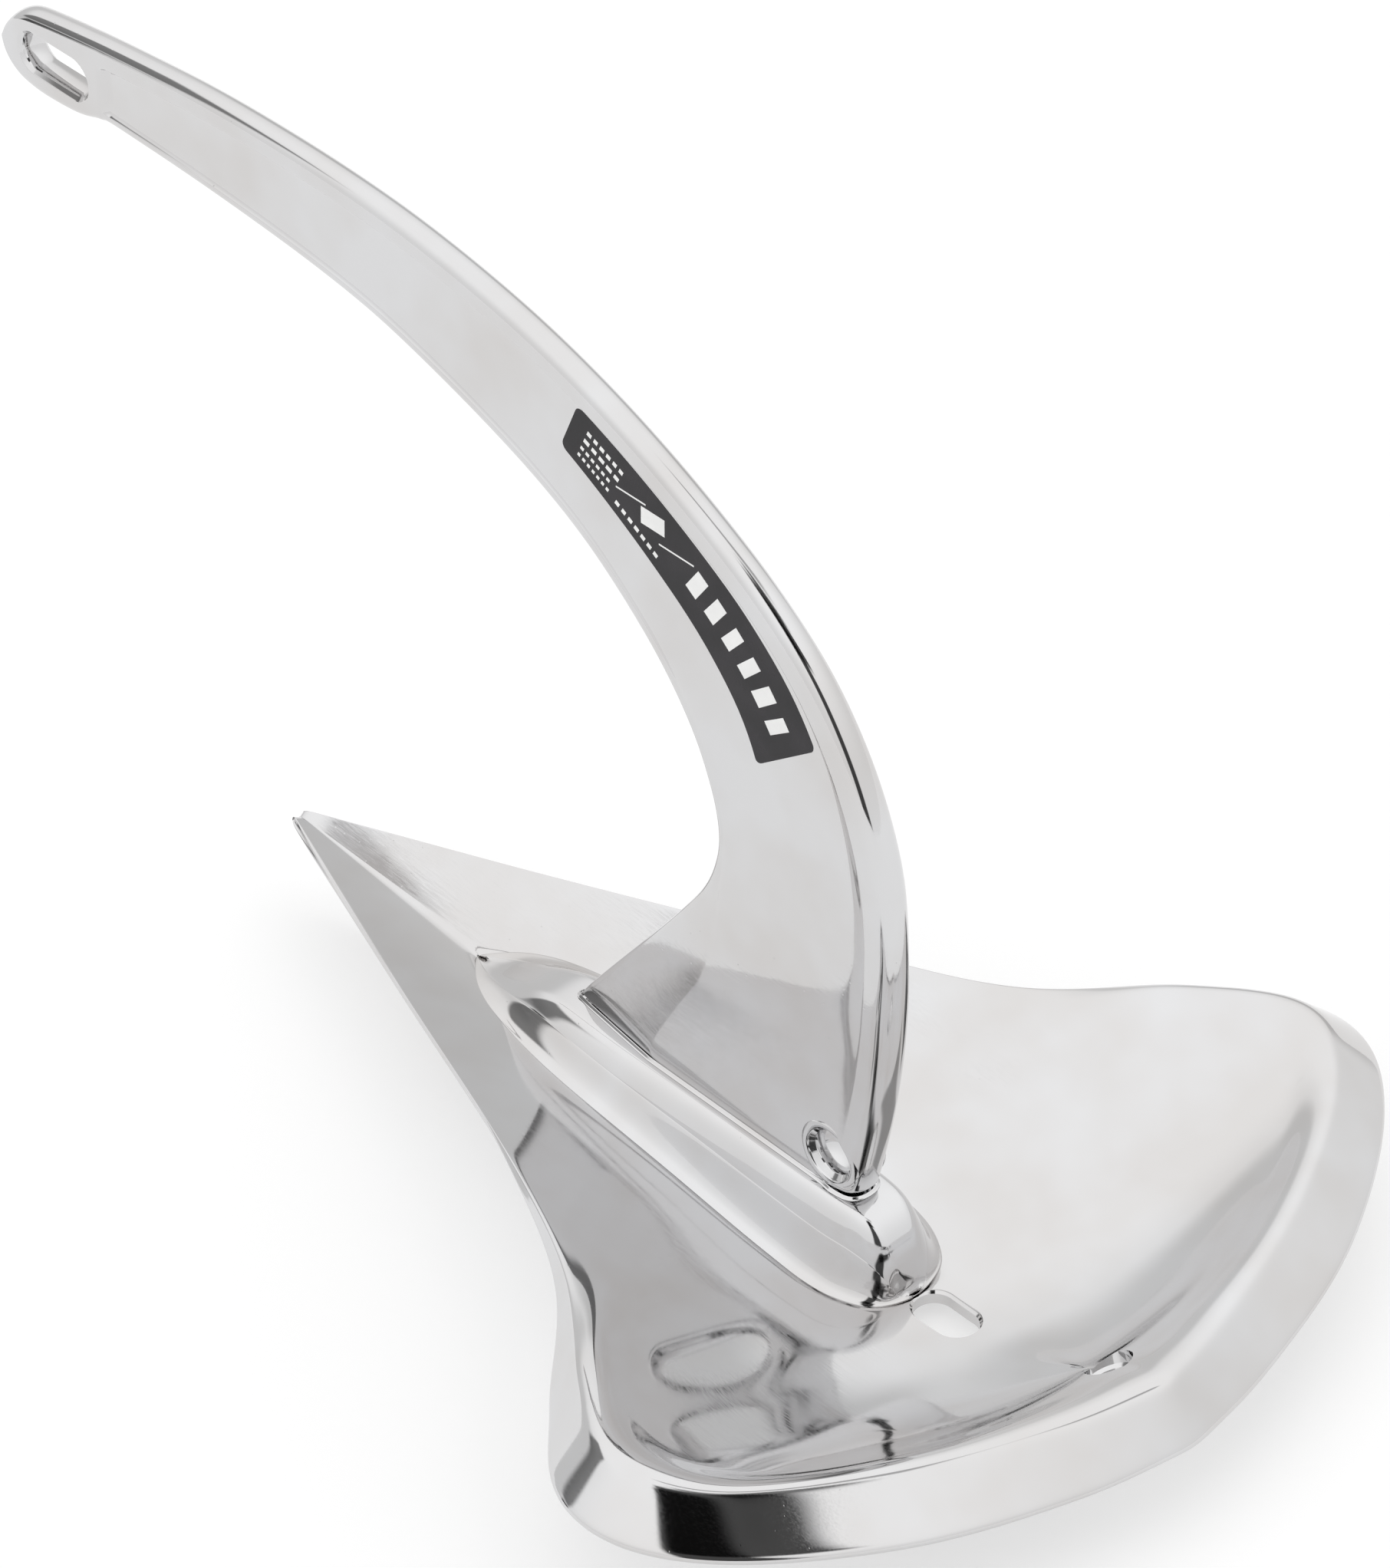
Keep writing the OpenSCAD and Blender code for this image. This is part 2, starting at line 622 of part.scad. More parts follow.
module foot_weld() {
    right = [for (p = shank_profile(station_last)) [foot_rear - p[0], p[1]]];
    n = len(right);
    rings = [
        for (i = [0 : 2 * n - 3])
            let (
                j = i < n ? i : 2 * n - 2 - i,
                sign = i < n ? 1 : -1,
                before = right[max(0, j - 1)],
                after = right[min(n - 1, j + 1)],
                t = unit(after - before),
                d = j == 0 ? [1, 0] : j == n - 1 ? [-1, 0] : [t[1], -t[0]],
                out = d * (j == 0 || j == n - 1 ? 1 : (d[1] < 0 ? -1 : 1)),
                a = right[j],
                b = a + out * (j == 0 ? 1.2 : foot_bead)
            )
            [
                [a[0], sign * a[1], keel_top], [b[0], sign * b[1], keel_top],
                [mix(a[0], b[0], 0.6), sign * mix(a[1], b[1], 0.6), keel_top + 0.5 * foot_bead],
                [a[0], sign * a[1], keel_top + 0.8 * foot_bead]
            ]
    ];
    color(bead_steel) stand()
        ring_loft([for (i = [len(rings) - 1 : -1 : 0]) rings[i]], closed = true);
}

// ---- Rating plates ----
module rating_plate(side) {
    edge = [
        for (i = [0 : label_steps])
            let (
                k = mix(label_first, label_last, i / label_steps),
                ends = station(k),
                u = unit(ends[1] - ends[0]),
                r = table(section_rows, k),
                near = r[5] + r[6] + label_margin,
                far = near + mix(label_top_width, label_bottom_width, i / label_steps)
            )
            [ends[0] + u * near, ends[0] + u * far]
    ];
    outline = concat([for (e = edge) e[0]], [for (i = [label_steps : -1 : 0]) edge[i][1]]);
    color(plate_black) stand()
        translate([0, side * (web + label_thickness / 2), 0])
            rotate([90, 0, 0])
                linear_extrude(label_thickness, center = true)
                    polygon(outline);
}

module rating_plate_port() {
    rating_plate(-1);
}

module rating_plate_starboard() {
    rating_plate(1);
}

shank();
foot_weld();
keel();
keel_weld();
fluke_blade();
heel_skirt();
toe_ballast();
rating_plate_port();
rating_plate_starboard();
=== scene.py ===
"""Polished stainless scoop anchor: smooth finished pieces, their materials, the studio and the camera."""

import logging
import math
from dataclasses import dataclass
from enum import Enum
from typing import Any, Sequence

import bmesh
import bpy
import numpy as np
from mathutils import Matrix, Vector


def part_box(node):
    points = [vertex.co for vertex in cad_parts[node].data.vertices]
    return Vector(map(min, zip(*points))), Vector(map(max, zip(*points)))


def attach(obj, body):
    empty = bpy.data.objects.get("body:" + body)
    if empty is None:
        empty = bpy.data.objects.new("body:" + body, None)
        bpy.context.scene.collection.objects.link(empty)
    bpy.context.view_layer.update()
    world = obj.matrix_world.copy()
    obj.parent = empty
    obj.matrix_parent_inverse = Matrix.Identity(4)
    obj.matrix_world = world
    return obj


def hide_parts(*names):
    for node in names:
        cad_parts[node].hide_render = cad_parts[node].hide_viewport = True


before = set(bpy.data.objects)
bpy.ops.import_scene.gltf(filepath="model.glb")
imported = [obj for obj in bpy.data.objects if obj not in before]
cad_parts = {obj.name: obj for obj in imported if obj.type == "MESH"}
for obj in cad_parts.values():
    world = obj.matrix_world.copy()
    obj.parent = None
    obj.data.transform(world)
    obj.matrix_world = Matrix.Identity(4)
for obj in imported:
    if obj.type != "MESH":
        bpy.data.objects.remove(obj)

log = logging.getLogger("scoop_anchor")

MM = 0.001
EYE_TIP_MM = 110.5
SHANK_TOP_MM = 250.0
MIRROR = np.array([1, -1, 1])
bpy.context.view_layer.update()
Row = list[np.ndarray]


# ---------------------------------------------------------------- small maths


def mix(a: Any, b: Any, t: float) -> Any:
    """Blend from a to b."""
    return a + (b - a) * t


def clamp(t: float) -> float:
    """Hold t between 0 and 1."""
    return max(0.0, min(1.0, t))


def ease(t: float) -> float:
    """Smooth step from 0 to 1."""
    t = clamp(t)
    return t * t * (3 - 2 * t)


def unit(v: np.ndarray) -> np.ndarray:
    """Scale v to length 1."""
    return v / max(1e-9, float(np.linalg.norm(v)))


def spline(rows: Sequence[Sequence[float]], s: float) -> np.ndarray:
    """Smooth curve through rows of numbers.

    Args:
        rows: the knots, one row each.
        s: place on the curve, counted in rows from 0.

    Returns:
        The blended row.
    """
    i = min(int(s), len(rows) - 2)
    t = s - i
    b, c = np.array(rows[i], float), np.array(rows[i + 1], float)
    a = np.array(rows[i - 1], float) if i > 0 else 2 * b - c
    d = np.array(rows[i + 2], float) if i + 2 < len(rows) else 2 * c - b
    return 0.5 * (2 * b + (c - a) * t + (2 * a - 5 * b + 4 * c - d) * t**2 + (3 * b - a - 3 * c + d) * t**3)


def lookup(rows: Sequence[Sequence[float]], x: float) -> np.ndarray:
    """Straight interpolation in a table whose first column rises.

    Args:
        rows: the table.
        x: value in the first column.

    Returns:
        The interpolated row.
    """
    i = 0
    for k in range(len(rows) - 1):
        if x >= rows[k][0]:
            i = k
    a, b = np.array(rows[i], float), np.array(rows[i + 1], float)
    return mix(a, b, clamp((x - a[0]) / (b[0] - a[0])))


# ---------------------------------------------------------------- meshes


def design_origin() -> Vector:
    """Where the design's zero (the toe) lies in the row frame, in metres, from the shank's eye and top."""
    low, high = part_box("shank")
    return Vector((low[0] + EYE_TIP_MM * MM, 0.0, high[2] - SHANK_TOP_MM * MM))


ORIGIN = design_origin()


def add_object(name: str, data: bpy.types.ID) -> bpy.types.Object:
    """Make an object from its data and put it in the scene."""
    made = bpy.data.objects.new(name, data)
    bpy.context.scene.collection.objects.link(made)
    return made


@dataclass
class Shell:
    """A mesh under construction, in millimetres from the toe."""

    name: str

    def __post_init__(self) -> None:
        """Start with no points and no faces."""
        self.points: list[np.ndarray] = []
        self.faces: list[tuple[int, ...]] = []

    def add(self, points: Sequence[np.ndarray], faces: Sequence[tuple[int, ...]]) -> None:
        """Append points and the faces that use them."""
        start = len(self.points)
        self.points.extend(points)
        self.faces.extend(tuple(i + start for i in f) for f in faces)

    def half_loft(
        self, rows: Sequence[Row], open_rows: Sequence[bool] = (), caps: tuple[bool, bool] = (True, True)
    ) -> None:
        """Loft half sections and add their mirror image across the centre plane.

        Args:
            rows: sections, each from the centre top round to the centre bottom, all on the +Y side.
            open_rows: which sections stand clear of the centre plane, so that a wall closes them.
            caps: whether the first and the last section are closed with faces.
        """
        m = len(rows[0])
        faces: list[tuple[int, ...]] = []
        for i in range(len(rows) - 1):
            for k in range(m - 1):
                faces.append((i * m + k, i * m + k + 1, (i + 1) * m + k + 1, (i + 1) * m + k))
            if open_rows and (open_rows[i] or open_rows[i + 1]):
                faces.append((i * m + m - 1, i * m, (i + 1) * m, (i + 1) * m + m - 1))
        for wanted, base in zip(caps, (0, (len(rows) - 1) * m)):
            if wanted:
                for k in range(m // 2):
                    quad = (base + k, base + k + 1, base + m - 2 - k, base + m - 1 - k)
                    corners = tuple(dict.fromkeys(quad))
                    if len(corners) > 2:
                        faces.append(corners)
        points = [p for row in rows for p in row]
        self.add(points, faces)
        self.add([p * MIRROR for p in points], [tuple(reversed(f)) for f in faces])

    def ring_loft(self, rings: Sequence[Row], closed: bool = True) -> None:
        """Loft closed sections along a closed path, or along an open path with both ends capped.

        Args:
            rings: sections, each a closed ring of points.
            closed: whether the path comes back to its start.
        """
        m, n = len(rings[0]), len(rings)
        faces: list[tuple[int, ...]] = [
            (i * m + k, i * m + (k + 1) % m, ((i + 1) % n) * m + (k + 1) % m, ((i + 1) % n) * m + k)
            for i in range(n if closed else n - 1)
            for k in range(m)
        ]
        if not closed:
            faces += [tuple(range(m)), tuple(reversed(range((n - 1) * m, n * m)))]
        self.add([p for ring in rings for p in ring], faces)

    def build(self) -> bpy.types.Object:
        """Merge the points, turn the faces outwards and return the object, in metres in the row frame."""
        mesh = bpy.data.meshes.new(self.name)
        mesh.from_pydata([tuple(float(c) for c in p) for p in self.points], [], self.faces)
        work = bmesh.new()
        work.from_mesh(mesh)
        bmesh.ops.remove_doubles(work, verts=work.verts, dist=0.004)
        bmesh.ops.dissolve_degenerate(work, edges=work.edges, dist=0.001)
        bmesh.ops.recalc_face_normals(work, faces=work.faces)
        work.to_mesh(mesh)
        work.free()
        mesh.transform(Matrix.Translation(ORIGIN) @ Matrix.Scale(MM, 4))
        return add_object(self.name, mesh)


def settle(obj: bpy.types.Object) -> None:
    """Turn an object's modifiers into plain mesh."""
    bpy.context.view_layer.update()
    result = bpy.data.meshes.new_from_object(obj.evaluated_get(bpy.context.evaluated_depsgraph_get()))
    obj.modifiers.clear()
    old, obj.data = obj.data, result
    bpy.data.meshes.remove(old)


def refine(obj: bpy.types.Object, levels: int) -> None:
    """Round a cage with a subdivision surface."""
    rounder = obj.modifiers.new("round", "SUBSURF")
    rounder.levels = rounder.render_levels = levels
    settle(obj)


@dataclass(frozen=True)
class Hole:
    """A round or long hole whose mouths are rounded over, in millimetres."""

    name: str
    centre: tuple[float, float, float]
    axis: tuple[float, float, float]
    radius: float
    run: float
    half_wall: float
    lip: float
    arc_steps: int = 7
    ring_points: int = 64
    overrun: float = 12.0

    def profile(self) -> list[tuple[float, float]]:
        """Height along the hole and growth of its radius, from one mouth to the other."""
        half, lip = self.half_wall, self.lip
        stops = [(half + self.overrun, lip * 1.05), (half + 0.05, lip * 1.05)]
        for i in range(1, self.arc_steps + 1):
            a = math.radians(90 * i / self.arc_steps)
            stops.append((half - lip * math.sin(a), lip * (1 - math.cos(math.pi / 2 - a))))
        return stops + [(-height, grow) for height, grow in reversed(stops)]

    def cutter(self) -> bpy.types.Object:
        """Build the solid that cuts the hole; its straight run lies along X."""
        out = unit(np.array(self.axis, float))
        along = unit(np.array([1.0, 0, 0]) - out * out[0])
        across = np.cross(out, along)
        rings = []
        for height, grow in self.profile():
            ring = []
            for k in range(self.ring_points):
                a = 2 * math.pi * (k + 0.5) / self.ring_points
                shift = math.copysign(self.run / 2, math.cos(a))
                reach = self.radius + grow
                p = along * (shift + reach * math.cos(a)) + across * reach * math.sin(a)
                ring.append(np.array(self.centre, float) + p + out * height)
            rings.append(ring)
        shell = Shell(self.name)
        shell.ring_loft(rings, closed=False)
        return shell.build()


def cut(obj: bpy.types.Object, *holes: Hole) -> None:
    """Cut holes through an object."""
    for hole in holes:
        cutter = hole.cutter()
        tool = obj.modifiers.new("cut", "BOOLEAN")
        tool.operation, tool.solver, tool.object = "DIFFERENCE", "EXACT", cutter
        settle(obj)
        bpy.data.objects.remove(cutter)


def smooth(obj: bpy.types.Object, angle: float = 38.0) -> None:
    """Shade an object smooth, with edges sharper than the angle in degrees kept."""
    obj.data.shade_smooth()
    obj.data.set_sharp_from_angle(angle=math.radians(angle))


def finish_piece(obj: bpy.types.Object, material: bpy.types.Material, slot: str, *nodes: str) -> bpy.types.Object:
    """Dress a piece, set it on the anchor's one body and log it.

    Args:
        obj: the finished piece.
        material: its finish.
        slot: the record's material slot; not used.
        nodes: the CAD nodes that it stands for.

    Returns:
        The same piece.
    """
    if not obj.data.materials:
        obj.data.materials.append(material)
    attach(obj, "root")
    if nodes:
        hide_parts(*nodes)
    log.info("%s: %d faces, stands for %s", obj.name, len(obj.data.polygons), ", ".join(nodes) or "a detail")
    return obj


# ---------------------------------------------------------------- finishes


def linear(hex_colour: str) -> tuple[float, float, float, float]:
    """Turn an sRGB hex colour into linear RGBA."""
    parts = [int(hex_colour[i : i + 2], 16) / 255 for i in (1, 3, 5)]
    r, g, b = (c / 12.92 if c <= 0.04045 else ((c + 0.055) / 1.055) ** 2.4 for c in parts)
    return (r, g, b, 1.0)


def add_node(
    tree: bpy.types.NodeTree, kind: str, values: dict[Any, Any] | None = None, **settings: Any
) -> bpy.types.Node:
    """Add a shader or geometry node.

    Args:
        tree: the node tree.
        kind: the node's type.
        values: input name or number to a value, or to an output socket to link.
        settings: attributes of the node.

    Returns:
        The new node.
    """
    made = tree.nodes.new(kind)
    for key, value in settings.items():
        setattr(made, key, value)
    for key, value in (values or {}).items():
        if isinstance(value, bpy.types.NodeSocket):
            tree.links.new(value, made.inputs[key])
        else:
            made.inputs[key].default_value = value
    return made


def maths(tree: bpy.types.NodeTree, operation: str, *values: Any) -> bpy.types.NodeSocket:
    """Add a math node on numbers or sockets and return its output."""
    return add_node(tree, "ShaderNodeMath", dict(enumerate(values)), operation=operation).outputs[0]


def noise(tree: bpy.types.NodeTree, place: Any, size_mm: float, detail: float, **more: float) -> bpy.types.NodeSocket:
    """Add a noise pattern with patches of a size in millimetres and return its strength."""
    values = {"Vector": place, "Scale": 1 / (size_mm * MM), "Detail": detail, **more}
    return add_node(tree, "ShaderNodeTexNoise", values).outputs["Fac"]


def remap(
    tree: bpy.types.NodeTree,
    value: bpy.types.NodeSocket,
    source: tuple[float, float],
    target: tuple[float, float],
    soft: bool = False,
) -> bpy.types.NodeSocket:
    """Map one range of a value to another.

    Args:
        tree: the node tree.
        value: the socket to map.
        source: the range that the value is read in.
        target: the range that it is turned into.
        soft: whether the ends are eased.

    Returns:
        The mapped socket.
    """
    values = {
        "Value": value, "From Min": source[0], "From Max": source[1], "To Min": target[0], "To Max": target[1],
    }
    kind = "SMOOTHSTEP" if soft else "LINEAR"
    return add_node(tree, "ShaderNodeMapRange", values, interpolation_type=kind).outputs[0]


def blend(
    tree: bpy.types.NodeTree, factor: bpy.types.NodeSocket, stops: tuple[tuple[float, str], tuple[float, str]]
) -> bpy.types.NodeSocket:
    """Blend two sRGB hex colours, each given with its place on the factor's scale."""
    ramp = add_node(tree, "ShaderNodeValToRGB", {"Fac": factor})
    for element, (place, colour) in zip(ramp.color_ramp.elements, stops):
        element.position, element.color = place, linear(colour)
    return ramp.outputs["Color"]


def bump(
    tree: bpy.types.NodeTree, height: bpy.types.NodeSocket, depth_mm: float, strength: float = 1.0, below: Any = None
) -> bpy.types.NodeSocket:
    """Add relief of a depth in millimetres, on top of the relief below it."""
    values = {"Height": height, "Strength": strength, "Distance": depth_mm * MM}
    if below is not None:
        values["Normal"] = below
    return add_node(tree, "ShaderNodeBump", values).outputs[0]


@dataclass(frozen=True)
class Finish:
    """A surface finish that turns into a material."""

    name: str

    def inputs(self, tree: bpy.types.NodeTree) -> dict[str, Any]:
        """Inputs of the finish's principled shader."""
        raise NotImplementedError

    def build(self) -> bpy.types.Material:
        """Make the material."""
        material = bpy.data.materials.new(self.name)
        material.use_nodes = True
        tree = material.node_tree
        tree.nodes.clear()
        shader = add_node(tree, "ShaderNodeBsdfPrincipled", self.inputs(tree))
        add_node(tree, "ShaderNodeOutputMaterial", {0: shader.outputs[0]})
        return material


@dataclass(frozen=True)
class PolishedSteel(Finish):
    """Cast or rolled 316 stainless steel, buffed to a mirror: bright, slightly wavy, with faint buffing lines."""

    tint: str = "#D5D5D6"
    warm: str = "#CECCCB"
    roughness: tuple[float, float] = (0.035, 0.11)
    wave_mm: float = 26.0
    wave_height_mm: float = 0.05
    line_mm: float = 0.5
    line_height_mm: float = 0.0006
    smear_mm: float = 60.0
    pit_mm: float = 4.5
    pit_depth_mm: float = 0.02

    def inputs(self, tree: bpy.types.NodeTree) -> dict[str, Any]:
        """Shader inputs from real sizes in millimetres."""
        place = add_node(tree, "ShaderNodeTexCoord").outputs["Object"]
        wave = noise(tree, place, self.wave_mm, 1.5, Roughness=0.4)
        brushed = {"Vector": place, "Scale": (0.05, 1.0, 1.0), "Rotation": (0.0, 0.35, 0.25)}
        lines = noise(tree, add_node(tree, "ShaderNodeMapping", brushed).outputs[0], self.line_mm, 2.0)
        smear = noise(tree, place, self.smear_mm, 3.0, Roughness=0.6)
        cells = add_node(tree, "ShaderNodeTexVoronoi", {"Vector": place, "Scale": 1 / (self.pit_mm * MM)})
        pits = remap(tree, cells.outputs["Distance"], (0.03, 0.075), (0.0, 1.0), soft=True)
        relief = bump(tree, wave, self.wave_height_mm)
        relief = bump(tree, lines, self.line_height_mm, below=relief)
        return {
            "Base Color": blend(tree, smear, ((0.35, self.warm), (0.62, self.tint))),
            "Metallic": 1.0,
            "Roughness": remap(tree, maths(tree, "MULTIPLY", smear, lines), (0.15, 0.4), self.roughness),
            "Normal": bump(tree, pits, self.pit_depth_mm, 0.5, relief),
        }


@dataclass(frozen=True)
class GlossFoil(Finish):
    """Printed vinyl foil under a clear gloss film: deep colour, soft sheen, faint orange peel."""

    colour: str = "#1B191C"
    light: str = "#2A272B"
    roughness: tuple[float, float] = (0.12, 0.24)
    cloud_mm: float = 14.0
    peel_mm: float = 0.9
    peel_depth_mm: float = 0.01

    def inputs(self, tree: bpy.types.NodeTree) -> dict[str, Any]:
        """Shader inputs from real sizes in millimetres."""
        place = add_node(tree, "ShaderNodeTexCoord").outputs["Object"]
        cloud = noise(tree, place, self.cloud_mm, 4.0)
        return {
            "Base Color": blend(tree, cloud, ((0.4, self.colour), (0.75, self.light))),
            "Roughness": remap(tree, cloud, (0.0, 1.0), self.roughness),
            "Normal": bump(tree, noise(tree, place, self.peel_mm, 1.0), self.peel_depth_mm, 0.6),
            "Specular IOR Level": 0.25,
        }


@dataclass(frozen=True)
class LightTable(Finish):
    """Matt white sheet that glows faintly, as a light table does."""

    colour: str = "#BDBDBD"
    glow: float = 0.5

    def inputs(self, tree: bpy.types.NodeTree) -> dict[str, Any]:
        """Shader inputs of the sheet."""
        return {
            "Base Color": linear(self.colour), "Roughness": 0.9,
            "Emission Color": linear("#FFFFFF"), "Emission Strength": self.glow,
        }


# ---------------------------------------------------------------- fluke


@dataclass
class FlukeForm:
    """Shape of the concave fluke, in millimetres from the toe."""

    length: float = 373.0
    half_width: float = 138.0
    scoop_depth: float = 17.0
    wing_rise: float = 24.0
    plate: float = 5.0
    edge: float = 2.6
    bank: float = 24.0
    opening_start: float = 87.0
    opening_end: float = 275.5
    opening_half: float = 18.0
    rim_shape: tuple = (
        (0, 0, 0), (0.237, 0.244, 0.2), (0.465, 0.475, 0.5), (0.603, 0.645, 0.63), (0.708, 0.87, 0.93),
        (0.794, 1, 1), (0.863, 0.897, 0.79), (0.933, 0.58, 0.68), (0.976, 0.243, 0.6), (1, 0, 0.66),
    )
    spine_shape: tuple = (
        (0, 0), (0.263, -0.44), (0.509, -0.83), (0.633, -0.96), (0.713, -1),
        (0.772, -1), (0.815, -0.87), (0.853, -0.62), (0.885, -0.32), (0.912, 0),
    )
    keel_shape: tuple = (
        (0, 0), (0.02, 0.14), (0.05, 0.3), (0.1, 0.5), (0.18, 0.76), (0.28, 0.92), (0.4, 0.97), (0.6, 0.97),
        (0.76, 1), (0.86, 0.99), (0.9, 0.94), (0.935, 0.82), (0.96, 0.67), (0.98, 0.48), (0.993, 0.28), (1, 0),
    )
    keel_stops: tuple = (
        0.015, 0.035, 0.06, 0.09, 0.13, 0.17, 0.22, 0.27, 0.33, 0.4, 0.47, 0.54, 0.61, 0.68, 0.74, 0.79,
        0.83, 0.865, 0.89, 0.912, 0.932, 0.95, 0.965, 0.977, 0.987, 0.995,
    )
    skirt_shape: tuple = (
        (0.1, 0.08), (0.22, 0.45), (0.6, 1.05), (1, 1), (1, 0.9), (1.1, 1), (1, 1.15), (0.85, 1.27),
    )
    bank_steps: tuple = (0.78, 0.6, 0.45, 0.31, 0.18, 0.08, 0)
    bank_heights: tuple = (-5.6, -3, -0.9, 0.6, 1.2, 0.9, 0)
    bank_depth: float = 8.0
    floor_points: int = 8
    last: int = 9
    skirt_first: int = 2
    skirt_flare: float = 13.7
    skirt_drop: float = 12.3

    def __post_init__(self) -> None:
        """Tabulate the spine so that a section can be found from its place."""
        self.spine_rows = [(self.spine(i / 20)[0], i / 20, self.spine(i / 20)[2]) for i in range(181)]

    def rim(self, s: float) -> np.ndarray:
        """Point of the fold in the section at s."""
        r = spline(self.rim_shape, s)
        return np.array([r[0] * self.length, max(0.0, r[1]) * self.half_width, r[2] * self.wing_rise])

    def spine(self, s: float) -> np.ndarray:
        """Point of the centre line in the section at s."""
        r = spline(self.spine_shape, s)
        return np.array([r[0] * self.length, 0.0, r[1] * self.scoop_depth])

    def section_at(self, x: float) -> float:
        """Section whose centre-line point lies at x."""
        return float(lookup(self.spine_rows, x)[1])

    def floor_height(self, x: float) -> float:
        """Height of the centre line at x."""
        return float(lookup(self.spine_rows, x)[2])

    def roll(self, s: float) -> float:
        """How far the rim is rolled: 0 on the plain leading edge, 1 on wings and heel."""
        return ease((s - self.skirt_first - 0.4) / 1.5)

    def rise(self, u: float, s: float) -> float:
        """Share of the climb from the centre line at share u of the way out."""
        w = mix(1.0, 0.12, ease(s / 4.5))
        return w * u + (1 - w) * u * u

    def direction(self, s: float) -> tuple[float, np.ndarray]:
        """Length and plan direction of the section at s."""
        d = (self.rim(s) - self.spine(s))[:2]
        reach = float(np.linalg.norm(d))
        return reach, d / max(1e-6, reach)

    def opening(self, s: float) -> float:
        """Distance from the centre line to the keel's opening in the section at s."""
        x = self.spine(s)[0]
        if x < self.opening_start + 0.01 or x > self.opening_end - 0.01:
            return 0.0
        _, d = self.direction(s)
        t = 0.0
        for _ in range(8):
            share = (x + d[0] * t - self.opening_start) / (self.opening_end - self.opening_start)
            t = float(lookup(self.keel_shape, share)[1]) * self.opening_half / d[1]
        return t

    def profile(self, s: float) -> list[np.ndarray]:
        """Upper surface of the section at s, as distance out and height."""
        spine, rim, start, roll = self.spine(s), self.rim(s), self.opening(s), self.roll(s)
        reach, _ = self.direction(s)
        floor_reach = reach - self.bank
        points = []
        for j in range(self.floor_points + 1):
            share = j / self.floor_points
            u = mix(start / reach, 0.72, share)
            v = mix(start / floor_reach, 1.0, share)
            plain = np.array([reach * u, mix(spine[2], rim[2], self.rise(u, s))])
            rolled = np.array([floor_reach * v, mix(spine[2], rim[2] - self.bank_depth, self.rise(v, s))])
            points.append(mix(plain, rolled, roll))
        count = len(self.bank_steps)
        for k, (step, height) in enumerate(zip(self.bank_steps, self.bank_heights)):
            u = 0.72 + 0.28 * (k + 1) / count
            plain = np.array([reach * u, mix(spine[2], rim[2], self.rise(u, s))])
            points.append(mix(plain, np.array([reach - step * self.bank, rim[2] + height]), roll))
        return points

    def wall(self, s: float, u: float) -> float:
        """Thickness of the plate at share u of the section at s."""
        bevel = max(clamp((u - 0.82) / 0.18) * (1 - self.roll(s)), 1 - clamp(s / 0.5))
        return mix(self.plate, self.edge, bevel)

    def place(self, s: float, p: np.ndarray) -> np.ndarray:
        """Turn distance and height in the section at s into a point."""
        spine = self.spine(s)
        _, d = self.direction(s)
        return np.array([spine[0] + d[0] * p[0], d[1] * p[0], p[1]])

    def sheets(self, s: float) -> tuple[Row, Row]:
        """Upper and lower points of the section at s."""
        top = self.profile(s)
        under = []
        for j, p in enumerate(top):
            if j == 0:
                n = np.array([0.0, 1.0])
            elif j == len(top) - 1:
                n = unit(mix(np.array([0.0, 1.0]), np.array([0.6, 0.8]), self.roll(s)))
            else:
                t = top[j + 1] - top[j - 1]
                n = unit(np.array([-t[1], t[0]]))
            under.append(p - n * self.wall(s, p[0] / top[-1][0]))
        return [self.place(s, p) for p in top], [self.place(s, p) for p in under]

    def stops(self) -> list[float]:
        """Sections of the blade from the toe to the heel."""
        front = [self.section_at(mix(5.0, self.opening_start, i / 10)) for i in range(11)]
        keel = [self.section_at(mix(self.opening_start, self.opening_end, u)) for u in self.keel_stops]
        rear = [mix(self.section_at(self.opening_end), float(self.last), i / 28) for i in range(29)]
        return front + keel + rear

    def outward(self, s: float) -> np.ndarray:
        """Plan direction that the skirt flares in at s."""
        if s > self.last - 0.01:
            return np.array([1.0, 0.0])
        t = (self.rim(min(self.last, s + 0.02)) - self.rim(s - 0.02))[:2]
        d = unit(np.array([-t[1], t[0]]))
        return -d if d @ np.array([0.3, 1.0]) < 0 else d


